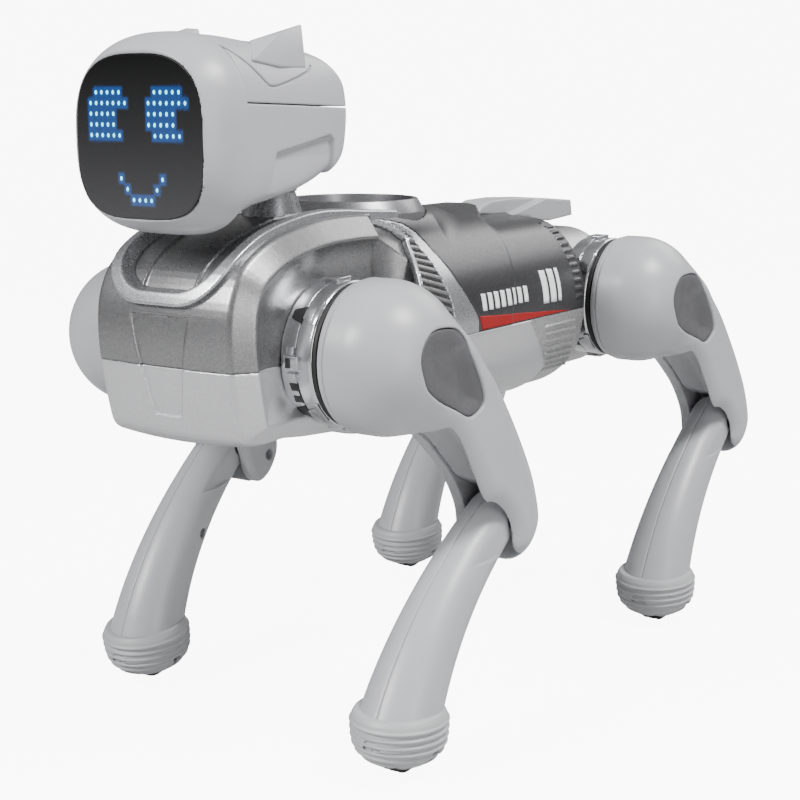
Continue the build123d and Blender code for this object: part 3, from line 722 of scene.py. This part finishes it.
def turn_at(z):
    """Angle around the barrel's upper or lower corner circle for a height on its skin."""
    z = np.asarray(z, float)
    return np.degrees(np.arcsin(np.clip(np.where(z > 153, z - 153, np.minimum(z - 149, 0)) / BARREL_R, -1, 1)))


def edge_curve(points):
    """Station of an edge as a function of the angle around the barrel."""
    ordered = sorted((float(turn_at(z)), y) for y, z in points)
    angles, stations = zip(*ordered)

    def curve(angle):
        return np.interp(angle, angles, stations)
    return curve




def angle_curve(points):
    """Station of an edge from (angle, station) pairs."""
    angles, stations = zip(*points)
    return lambda angle: np.interp(angle, angles, stations)


lip_edge = angle_curve([(-60, 40), (0, 40), (10, 41), (26.7, 43.5), (34.9, 45.5), (45.2, 48.6), (57.4, 52.0), (62, 47),
                        (65, 41), (66.6, 35.5), (90, 34)])
rib_edge = angle_curve([(0, 62), (13, 61.5), (21.1, 60.3), (29.7, 59.2), (41.1, 58.8), (49, 57.5), (57.4, 56.4),
                        (62, 51), (65, 44), (66.6, 38), (90, 36)])
dark_edge = angle_curve([(-5, 81.6), (2.3, 79.5), (13, 74.1), (24.8, 69.3), (37.4, 66.4), (52.2, 63.6), (57.5, 60.6),
                         (62.5, 54), (65, 47), (66.8, 39), (90, 37)])
step_edge = edge_curve([(140, 193), (123, 191), (119, 186.7), (117, 180.7), (114, 174), (111, 166), (108, 160),
                        (106, 149)])
panel_edge = edge_curve([(121.5, 147), (129.7, 139), (145, 126), (147.8, 124), (149, 114)])


def barrel_angle(x, z):
    above = np.where(z > 151, np.maximum(z - 153, 0), np.minimum(z - 149, 0))
    return np.degrees(np.arctan2(above, np.maximum(np.abs(x) - 10, 0.01)))


def ring_clear(x, y, z):
    return 29.45 - np.hypot(x, y - RING_Y) - 200 * (z < 186)


def cowl_field(x, y, z):
    angle, skin = barrel_angle(x, z), barrel_skin(x, y, z)
    lip, rib = lip_edge(angle), rib_edge(angle)
    groove = 0.5 * np.exp(-((y - lip - 1.4) / 0.3) ** 2)
    tube = meet(0.7, skin + groove, lip - y)
    rear = np.where(z > SEAM, dark_edge(angle) - 0.15, 58.0)
    tube = meet(0.4, np.maximum(tube, -(skin + 2.2)), y - rear)
    window = np.maximum(np.maximum(lip + 2.3 - y, y - rib), np.maximum(angle - 63.5, -4 - angle) * 0.7)
    return np.maximum(np.maximum(tube, -window), ring_clear(x, y, z))


def vent_field(x, y, z):
    """Ribbed crescent between the lip and the silver wedge."""
    angle, skin = barrel_angle(x, z), barrel_skin(x, y, z)
    lip, rib = lip_edge(angle), rib_edge(angle)
    along = np.radians(angle) * BARREL_R + 0.28 * (y - lip)
    wave = step_up(np.cos(along * 2 * math.pi / 3.05), -0.55, 0.9)
    ribs = skin + 1.9 - 1.9 * wave
    plate = np.maximum(np.maximum(ribs, -(skin + 3.4)), np.maximum(lip + 2.2 - y, y - rib - 0.3))
    plate = np.maximum(plate, np.maximum(angle - 64.5, -5 - angle) * 0.7)
    return np.maximum(plate, ring_clear(x, y, z))


def upper_barrel_field(x, y, z):
    angle = barrel_angle(x, z)
    edge = step_edge(angle)
    skin = barrel_skin(x, y, z) + 0.8 * step_up(y, edge, 0.9)
    skin = skin + 4.4 * step_up(angle, 48, 42) * step_up(y, edge, 6.0)
    small = step_up(np.cos((angle + 3.2) * 2 * math.pi / 5.1), -0.2, 0.7) * (angle < 62)
    skin = skin - 0.7 * small * step_up(y, 160.5, 1.2) * (1 - step_up(y, 166.6, 1.0))
    teeth = 0.9 * np.abs((angle / 5.1) % 1 - 0.5)
    body = meet(0.5, skin, y - 169.8 + teeth)
    body = np.maximum(body, -(skin + 2.2))
    body = np.maximum(body, dark_edge(angle) + 0.1 - y)
    tail_notch = np.maximum(rounded_rect(x, z - 146, 33.2, 33.2, 26), 158 - y)
    body = np.maximum(body, -tail_notch)
    return np.maximum(np.maximum(body, SEAM + 0.1 - z), ring_clear(x, y, z))


def lower_barrel_field(rear):
    def field(x, y, z):
        angle = barrel_angle(x, z)
        skin = barrel_skin(x, y, z)
        edge = panel_edge(angle)
        if rear:
            skin = skin + 0.9
            number = np.clip(-(angle + 7.8) / 5.1, 0, 7)
            wave = step_up(np.cos((angle + 7.8) * 2 * math.pi / 5.1), 0.1, 0.7) * (angle < -5) * (angle > -46)
            first, last = 134.5 + 1.9 * number, 161.5 + 1.5 * number
            skin = skin - 1.0 * wave * step_up(y, first, 0.8) * (1 - step_up(y, last - 0.8, 0.8))
            teeth = 0.9 * np.abs((angle / 5.1) % 1 - 0.5)
            rim = 169.8 + 3.0 * np.clip((-angle - 14) / 20, 0, 1) - teeth
            body = meet(0.5, skin, y - rim)
            body = np.maximum(np.maximum(body, -(skin + 1.6)), edge + 0.12 - y)
        else:
            body = meet(0.5, skin, y - edge)
            body = np.maximum(np.maximum(body, -(skin + 2.4)), 58.1 - y)
        hatch = np.maximum(np.maximum(np.abs(x) - 14.2, np.abs(y - 125) - 25.2), z - 113)
        for sx in (-16, 16):
            for sy in (82, 154.5):
                hole = np.maximum(np.hypot(x - sx, y - sy) - 2.5, z - 114)
                body = np.maximum(body, -hole)
        tail_notch = np.maximum(rounded_rect(x, z - 146, 33.2, 33.2, 26), 158 - y)
        body = np.maximum(np.maximum(body, -tail_notch), -hatch)
        return np.maximum(body, z - SEAM + 0.1)
    return field


body_piece("vent_cowl", field_surface(cowl_field, (-51, 32, 108), (51, 83, 198), 0.55), trim_silver, "trim_silver")
body_piece("side_vents", field_surface(vent_field, (-51, 34, 140), (51, 64, 198), 0.45), rib_grey, "vent_dark")
body_piece("rear_upper_shell", field_surface(upper_barrel_field, (-51, 35, 147), (51, 171, 198), 0.55),
           rear_dark, "rear_grey")
body_piece("rear_lower_shell", field_surface(lower_barrel_field(False), (-51, 57, 108), (51, 150, 150), 0.6),
           silver_light, "silver_light")
body_piece("rear_lower_shell", field_surface(lower_barrel_field(True), (-51, 119, 108), (51, 174, 150), 0.6),
           rear_mid, "silver_light", stand=False, tag="rib_field")


def barrel_point(y, z, lift):
    """Point over the left side of the barrel skin."""
    angle = turn_at(z)
    radius = BARREL_R - 0.35 + lift - 0.8 * step_up(y, step_edge(angle), 0.9)
    radius = np.where(z > SEAM, radius, BARREL_R - 0.35 + lift)
    a = np.radians(angle)
    return np.stack([10 + radius * np.cos(a), y, np.clip(z, 149, 153) + radius * np.sin(a)], -1)


def print_surface(corners, columns=40):
    """Thin raised print over the barrel between four (y, z) corners, on both sides of the dog."""
    (ya, za), (yb, zb), (yc, zc), (yd, zd) = corners
    s, t = np.meshgrid(np.linspace(0, 1, columns), np.linspace(0, 1, 9), indexing="ij")
    y = (1 - t) * ((1 - s) * ya + s * yb) + t * ((1 - s) * yd + s * yc)
    z = (1 - t) * ((1 - s) * za + s * zb) + t * ((1 - s) * zd + s * zc)
    rows = []
    for lift in (0.07, -0.1):
        rows.append(barrel_point(y, z, lift).reshape(-1, 3))
    count = columns * 9
    faces = []
    for i in range(columns - 1):
        for j in range(8):
            a, b = i * 9 + j, (i + 1) * 9 + j
            faces += [(a, b, b + 1, a + 1), (count + a, count + a + 1, count + b + 1, count + b)]
    border = [i * 9 for i in range(columns)] + [(columns - 1) * 9 + j for j in range(1, 9)]
    border += [i * 9 + 8 for i in range(columns - 2, -1, -1)] + [j for j in range(7, 0, -1)]
    for a, b in zip(border, border[1:] + border[:1]):
        faces.append((b, a, count + a, count + b))
    left = np.vstack(rows)
    return joined((left, faces), (left * (-1, 1, 1), [f[::-1] for f in faces]))


body_piece("rear_upper_shell", print_surface([(80.3, 154.9), (155, 149.2), (155, 149.0), (81.8, 149.0)]),
           red_print, "rear_grey", stand=False, tag="red_wedge")
bars = [print_surface([(y, 156.7), (y + 3.1, 156.5), (y + 3.1, 163.3), (y, 163.6)], 6) for y in np.arange(83, 121, 4.9)]
bars += [print_surface([(y, 154.2), (y + w, 154.0), (y + w, 168.3), (y, 168.6)], 8) for y, w in ((133, 4.6), (139.5, 4.6), (146, 2.6))]
body_piece("rear_upper_shell", joined(*bars), white_print, "rear_grey", stand=False, tag="white_bars")


# ---- hubs ---------------------------------------------------------------------------
def hull(points, radius=0.3):
    """Convex solid around points, with its corners and edges rounded."""
    shape = bmesh.new()
    for point in points:
        for d in BALL:
            shape.verts.new(Vector(point) + Vector(d) * radius)
    result = bmesh.ops.convex_hull(shape, input=shape.verts)
    loose = [v for v in shape.verts if not v.link_faces]
    bmesh.ops.delete(shape, geom=loose, context="VERTS")
    bmesh.ops.recalc_face_normals(shape, faces=shape.faces)
    shape.verts.index_update()
    verts = np.array([v.co[:] for v in shape.verts])
    faces = [tuple(v.index for v in f.verts) for f in shape.faces]
    shape.free()
    return verts, faces


BALL = [(math.cos(b) * math.cos(a), math.cos(b) * math.sin(a), math.sin(b))
        for b in np.radians([-60, -20, 20, 60]) for a in np.radians(np.arange(0, 360, 45))]
BALL += [(0, 0, 1), (0, 0, -1)]


def wedge_on_hub(x0, x1, a0, a1, r0, r1, taper=0.0, radius=0.15):
    """Small raised block on the hub between two lateral places and two angles (0 is forward, 90 is up)."""
    points = []
    for x, shrink_by in ((x0, taper), (x1, 0.0)):
        for a in (a0 + shrink_by, a1 - shrink_by):
            for r in (r0, r1):
                points.append((x, -r * math.cos(math.radians(a)), r * math.sin(math.radians(a))))
    return hull(points, radius)


collar_profile = eased([(33.0, 20.5), (33.0, 26.2), (33.6, 26.6), (39.5, 26.6), (39.7, 25.9), (40.3, 25.9), (40.5, 26.9),
                        (46.2, 27.0), (46.9, 26.5), (46.9, 20.5), (33.0, 20.5)], 0.25)
collar_parts = [turned(collar_profile, 120)]
for middle in (-45, 38, 135, 225):
    collar_parts.append(wedge_on_hub(40.6, 44.6, middle - 7, middle + 7, 25.5, 27.3, 3.5))
    collar_parts.append(wedge_on_hub(44.6, 46.6, middle - 8, middle + 12, 26.5, 27.7))
for middle in (0, 180):
    collar_parts.append(wedge_on_hub(35.8, 41.8, middle - 5, middle + 4.5, 25.5, 28.3))
    collar_parts.append(wedge_on_hub(36.8, 39.6, middle + 6, middle + 11, 25.5, 27.9))
    collar_parts.append(wedge_on_hub(36.4, 40.4, middle - 14, middle - 8, 25.5, 28.0))
collar_parts.append(wedge_on_hub(36.0, 42.5, 80, 96, 25.5, 28.0, 0, 0.3))
collar_parts.append(wedge_on_hub(36.0, 42.5, 260, 276, 25.5, 28.0, 0, 0.3))
collar = joined(*collar_parts)
window_parts = [wedge_on_hub(35.2, 39.6, m - 7, m + 7, 25.9, 26.75, 3.5) for m in (-45, 38, 135, 225)]
window_parts += [wedge_on_hub(37.0, 38.6, m - 3.4, m + 3.0, 27.6, 28.66) for m in (0, 180)]
window_parts += [wedge_on_hub(36.4, 39.8, -34, -17, 25.9, 26.72)]
window = joined(*window_parts)
gasket = turned(eased([(46.9, 20.6), (46.9, 26.0), (47.4, 26.5), (48.5, 26.5), (48.8, 26.1), (48.8, 20.6), (46.9, 20.6)], 0.2), 120)


def on_all_hubs(surface):
    verts, faces = surface
    flipped = [tuple(f[::-1]) for f in faces]
    parts = []
    for y in (0.0, REAR_Y - FRONT_Y):
        parts.append((verts + (0, y, HIP_Z), faces))
        parts.append((verts * (-1, 1, 1) + (0, y, HIP_Z), flipped))
    return joined(*parts)


body_piece("hip_collars", on_all_hubs(collar), collar_silver, "collar_silver")
body_piece("hip_collars", on_all_hubs(window), dark_plastic, "collar_silver", stand=False, tag="windows")
body_piece("hip_gaskets", on_all_hubs(gasket), gasket_black, "gasket_black")


# ---- head ---------------------------------------------------------------------------
HEAD_Z, SCREEN_Z, FACE_Y = 230.0, 228.6, -60.4


def squircle(a, b, half_a, half_b, power, upper=None):
    """Signed size of a rounded square; its upper half may have its own roundness."""
    if upper:
        power = np.where(b > 0, upper, power)
    q = ((np.abs(a) / half_a) ** power + (np.abs(b) / half_b) ** power) ** (1 / power)
    return (q - 1) * np.minimum(half_a, half_b)


def face_scale(y):
    t = np.clip((-43.4 - y) / 17.0, 0, 1)
    return 1 - 0.175 * t ** 2.1


def screen_edge(x, z, gap=0.0):
    return squircle(x, z - SCREEN_Z, 28.9 + gap, 27.7 + gap, 3.5, 2.9)


def mask_field(x, y, z):
    """Deep bezel: a squircle that draws in towards the screen."""
    s = face_scale(y)
    skin = squircle(x, z - HEAD_Z + 0.6, 35.6 * s, 34.8 * s, 3.1, 2.55)
    body = meet(0.8, skin, FACE_Y - y)
    body = meet(0.8, body, y + 43.4)
    pocket = np.maximum(screen_edge(x, z, 0.2), y - FACE_Y - 1.8)
    body = blend_max(body, -pocket, 0.3)
    return np.maximum(body, -np.maximum(skin + 2.6, FACE_Y + 4 - y))


skull_side = loop_distance(smooth_loop([
    (-46, 202.8), (-34, 204.2), (-20, 206.8), (-5, 209.6), (7, 212.6), (16.5, 216.5), (21.6, 222), (24.0, 232),
    (24.2, 241), (22.8, 248.5), (16, 255.0), (6, 258.8), (-8, 261.4), (-22, 262.4), (-46, 262.8)], 4))
ear_seam = path_distance(smooth_path([(-46, 261.0), (-37, 253.2), (-30.5, 247.0), (-27, 245.4), (-20, 246.2), (-3.5, 250.2),
                                      (1, 252.5)], 4))
scoop_line = loop_distance(np.array([(-26.5, 223.3), (9.0, 228.6), (12.0, 226.4), (11.0, 206), (-34, 200)], float))


def skull_skin(x, y, z):
    half = np.interp(y, [-46, -30, -10, 10, 26], [33.8, 33.6, 32.2, 29.8, 27.0])
    tube = squircle(x, z - 230.6, half, 33.0, 3.8, 2.9)
    skin = meet(5.0, skull_side(y, z), tube)
    hollow = 2.2 * step_up(-scoop_line(y, z), 0.0, 1.4) * np.interp(z, [209, 221], [0.0, 1.0]) * (np.abs(x) > 14)
    return skin + hollow


def skull_field(upper):
    def field(x, y, z):
        skin = skull_skin(x, y, z)
        if upper:
            seam = ear_seam(y, z) + 50 * (np.abs(x) < 17)
            skin = skin + 0.9 * (1 - step_up(seam, 0.16, 0.34))
        body = np.maximum(skin, -(skin + 2.2))
        body = np.maximum(body, -43.3 - y)
        split = 239.9 - 0.033 * (y + 39)
        cut = split + 0.22 - z if upper else z - split + 0.22
        body = meet(0.35, body, cut)
        if not upper:
            cup = np.maximum(np.hypot(x, y - 11) - 9.6, np.maximum(206.8 - z, z - 216))
            body = np.minimum(body, cup)
            post = np.hypot(x, y - 11) - np.where(z < 206.6, 12.6, 7.05)
            body = np.maximum(body, -np.maximum(post, z - 213.2))
        return body
    return field


body_piece("head_front_shell", field_surface(mask_field, (-36, -61, 193), (36, -43, 266), 0.55), light_grey,
           "head_plastic", body="head")
body_piece("head_upper_housing", field_surface(skull_field(True), (-35, -45, 236.5), (35, 26, 265), 0.42), light_grey,
           "head_plastic", body="head")
body_piece("head_lower_housing", field_surface(skull_field(False), (-35, -45, 201), (35, 26, 242), 0.55), light_grey,
           "head_plastic", body="head")
ear = hull([(29.0, -33.0, 254.4), (27.4, -18.0, 262.6), (26.6, -4.4, 266.2), (23.6, -2.0, 265.9), (21.4, -25, 260.5),
            (27.6, -3.6, 252.4), (29.6, -20, 252.6), (21.0, -1.6, 255.0), (22.0, -24, 255.0)], 0.7)
body_piece("ears", joined(ear, (ear[0] * (-1, 1, 1), [f[::-1] for f in ear[1]])), light_grey, "head_plastic", body="head")

# screen: rows of lit lamps as (row, first column, last column) on one lamp grid
LAMP_X, LAMP_Z, LAMP_TOP = 2.72, 3.63, 243.6
lamp_rows = [(0, -7, -3), (1, -8, -2), (2, -8, -4), (3, -8, -4), (4, -8, -3),
             (0, 3, 7), (1, 2, 8), (2, 2, 6), (3, 2, 6), (4, 3, 7),
             (8, -3, -3), (9, -2, -2), (10, -1, 2), (9, 3, 3), (8, 4, 4)]
lamps = [(LAMP_X * column, LAMP_TOP - LAMP_Z * row) for row, a, b in lamp_rows for column in range(a, b + 1)]


def lens_front(x, z):
    """Station of the slightly domed front of the screen."""
    return FACE_Y + 0.55 - 0.6 * np.clip(1 - (x / 28.6) ** 2, 0, 1) * np.clip(1 - ((z - SCREEN_Z) / 27.8) ** 2, 0, 1)


def lens_surface(count=150, rings=70):
    """Domed squircle plate with a glow value at every vertex."""
    angles = np.arange(count) * 2 * math.pi / count
    power = np.where(np.sin(angles) > 0, 2.9, 3.5)
    reach = (np.abs(np.cos(angles) / 28.9) ** power + np.abs(np.sin(angles) / 27.7) ** power) ** (-1 / power)
    verts = [(0, float(lens_front(0.0, SCREEN_Z)), SCREEN_Z)]
    for k in range(1, rings + 1):
        x, z = reach * k / rings * np.cos(angles), SCREEN_Z + reach * k / rings * np.sin(angles)
        verts += list(zip(x, lens_front(x, z), z))
    x, z = reach * np.cos(angles), SCREEN_Z + reach * np.sin(angles)
    verts += list(zip(x, np.full(count, FACE_Y + 1.7), z))
    verts.append((0, FACE_Y + 1.7, SCREEN_Z))
    last = len(verts) - 1
    faces = [(0, 1 + i, 1 + (i + 1) % count) for i in range(count)]
    for k in range(rings):
        a, b = 1 + k * count, 1 + (k + 1) * count
        faces += [(a + i, b + i, b + (i + 1) % count, a + (i + 1) % count) for i in range(count)]
    base = 1 + rings * count
    faces += [(base + i, last, base + (i + 1) % count) for i in range(count)]
    return np.array(verts, float), [tuple(f) for f in faces]


lens_verts, lens_faces = lens_surface()
lens = body_piece("screen_lens", (lens_verts, lens_faces), lens_black, "lens_black", body="head")
glow = np.zeros(len(lens_verts))
for x, z in lamps:
    box = np.maximum(np.abs(lens_verts[:, 0] - x) / 1.36, np.abs(lens_verts[:, 2] - z) / 1.82)
    glow = np.maximum(glow, 1 - step_up(box, 0.75, 0.6))
lens.data.attributes.new("glow", "FLOAT", "POINT").data.foreach_set("value", glow * (lens_verts[:, 1] < FACE_Y + 1.2))


def lamp_surface(x, z):
    """One lamp: a small upright bead on the screen."""
    rings = [(0.0, 0.0), (0.34, 0.5), (0.5, 0.75), (0.56, 0.95)]
    y = float(lens_front(x, z))
    verts, faces = [(x, y - 0.3, z)], []
    for k, (radius, drop) in enumerate(rings[1:]):
        for a in np.arange(12) * math.pi / 6:
            verts.append((x + radius * math.cos(a), y - 0.3 + 0.26 * drop ** 2, z + 1.35 * radius * math.sin(a)))
    verts.append((x, y + 0.2, z))
    faces += [(0, 1 + i, 1 + (i + 1) % 12) for i in range(12)]
    for k in range(2):
        a, b = 1 + 12 * k, 13 + 12 * k
        faces += [(a + i, b + i, b + (i + 1) % 12, a + (i + 1) % 12) for i in range(12)]
    faces += [(25 + i, 37, 25 + (i + 1) % 12) for i in range(12)]
    return np.array(verts), faces


body_piece("led_matrix", joined(*[lamp_surface(x, z) for x, z in lamps]), lamp_core, "board_black",
           body="head", stand=False, tag="lamps")

body_piece("tail_fin", field_surface(tail_field, (-11, 144, 181), (11, 231, 197), 0.5), fin_grey, "leg_plastic")

# ---- inner parts keep their CAD meshes ----------------------------------------------
for node, material in (("chassis_frame", dark_plastic), ("hip_gearmotors", steel), ("battery_pack", battery_blue),
                       ("control_board", board_green), ("speaker", dark_plastic), ("charge_port", dark_plastic),
                       ("body_screws", steel), ("power_switch", dark_plastic), ("battery_door", silver_light),
                       ("tail_housing", rear_mid), ("neck_post", trim_silver),
                       ("led_matrix", dark_plastic)):
    piece = frame["nodes"][node]
    if not piece.hide_render:
        piece.data.materials.clear()
        piece.data.materials.append(material)

# ---- stage, camera and lights -------------------------------------------------------
def stage_floor():
    """Pale seamless floor that sweeps up behind the dog."""
    material, nodes, links, shader, where = new_material("pale_floor")
    cloud = grain(nodes, links, where, 3)
    tone = ramp(nodes, links, cloud.outputs["Fac"], [(0.3, (0.42, 0.42, 0.42)), (0.7, (0.46, 0.46, 0.46))])
    links.new(tone.outputs["Color"], shader.inputs["Base Color"])
    shader.inputs["Roughness"].default_value = 0.75
    seen = nodes.new("ShaderNodeLightPath")
    lift = nodes.new("ShaderNodeMath")
    lift.operation = "MULTIPLY"
    lift.inputs[1].default_value = 9.0
    links.new(seen.outputs["Is Camera Ray"], lift.inputs[0])
    links.new(lift.outputs["Value"], shader.inputs["Emission Strength"])
    shader.inputs["Emission Color"].default_value = (1, 1, 1, 1)
    profile = [(-3.0, 0)] + [(1.6 + 0.9 * math.sin(a), 0.9 - 0.9 * math.cos(a))
                             for a in np.linspace(0, math.pi / 2, 16)] + [(2.5, 4.0)]
    turn_by = math.radians(34.7)
    verts, faces = [], []
    for side in (-4.0, 4.0):
        for y, z in profile:
            verts.append((side * math.cos(turn_by) - y * math.sin(turn_by),
                          side * math.sin(turn_by) + y * math.cos(turn_by), z - 0.0002))
    n = len(profile)
    for i in range(n - 1):
        faces.append((i, n + i, n + i + 1, i + 1))
    data = bpy.data.meshes.new("floor")
    data.from_pydata(verts, [], faces)
    data.polygons.foreach_set("use_smooth", [True] * len(data.polygons))
    data.materials.append(material)
    floor = bpy.data.objects.new("floor", data)
    bpy.context.scene.collection.objects.link(floor)


def soft_light(name, place, aim, size, power, color=(1, 1, 1)):
    lamp = bpy.data.lights.new(name, "AREA")
    lamp.shape = "RECTANGLE"
    lamp.size, lamp.size_y = size
    lamp.energy = power
    lamp.color = color
    holder = bpy.data.objects.new(name, lamp)
    holder.location = place
    holder.rotation_euler = (Vector(aim) - Vector(place)).to_track_quat("-Z", "Y").to_euler()
    bpy.context.scene.collection.objects.link(holder)


def studio_world():
    """White studio: bright overhead, dimmer low down, and white where the camera looks past the floor."""
    world = bpy.data.worlds.new("studio")
    world.use_nodes = True
    nodes, links = world.node_tree.nodes, world.node_tree.links
    sky = nodes["Background"]
    where = nodes.new("ShaderNodeTexCoord")
    split = nodes.new("ShaderNodeSeparateXYZ")
    links.new(where.outputs["Generated"], split.inputs["Vector"])
    height = nodes.new("ShaderNodeMapRange")
    height.inputs["From Min"].default_value = -0.3
    height.inputs["From Max"].default_value = 1.0
    links.new(split.outputs["Z"], height.inputs["Value"])
    tone = ramp(nodes, links, height.outputs["Result"],
                [(0.0, (0.08, 0.08, 0.08)), (0.3, (0.24, 0.24, 0.245)), (0.5, (0.31, 0.31, 0.315)),
                 (1.0, (0.30, 0.30, 0.305))])
    links.new(tone.outputs["Color"], sky.inputs["Color"])
    seen = nodes.new("ShaderNodeLightPath")
    strength = nodes.new("ShaderNodeMapRange")
    links.new(seen.outputs["Is Camera Ray"], strength.inputs["Value"])
    strength.inputs["To Min"].default_value = 1.0
    strength.inputs["To Max"].default_value = 14.0
    links.new(strength.outputs["Result"], sky.inputs["Strength"])
    bpy.context.scene.world = world


def from_side(azimuth, height, distance=1.5):
    """Place around the dog at an azimuth (0 is its left, -90 ahead) and a height angle, in degrees."""
    a, h = math.radians(azimuth), math.radians(height)
    return (distance * math.cos(a) * math.cos(h), distance * math.sin(a) * math.cos(h), 0.15 + distance * math.sin(h))


stage_floor()
studio_world()
middle = (0, 0, 0.14)
soft_light("front_soft", from_side(-111, 31), middle, (0.42, 0.42), 25)
soft_light("top_soft", from_side(0, 57), middle, (0.45, 0.42), 32)
soft_light("side_strip", from_side(-22, 6, 1.8), middle, (0.4, 1.2), 12)
soft_light("rear_soft", from_side(80, 35), middle, (0.9, 0.6), 8)

camera_data = bpy.data.cameras.new("camera")
camera_data.sensor_width = 36
camera_data.lens = 73.6
camera_data.clip_start = 0.05
camera = bpy.data.objects.new("camera", camera_data)
yaw, pitch, roll = math.radians(34.7), math.radians(10.8), math.radians(-0.2)
camera.location = (0.3927, (FRONT_Y - 471.6) / 1000, 0.2447)
look = Vector((-math.sin(yaw) * math.cos(pitch), math.cos(yaw) * math.cos(pitch), -math.sin(pitch)))
camera.rotation_mode = "QUATERNION"
camera.rotation_quaternion = look.to_track_quat("-Z", "Y") @ Quaternion((0, 0, 1), roll)
bpy.context.scene.collection.objects.link(camera)
bpy.context.scene.camera = camera

bpy.context.view_layer.update()
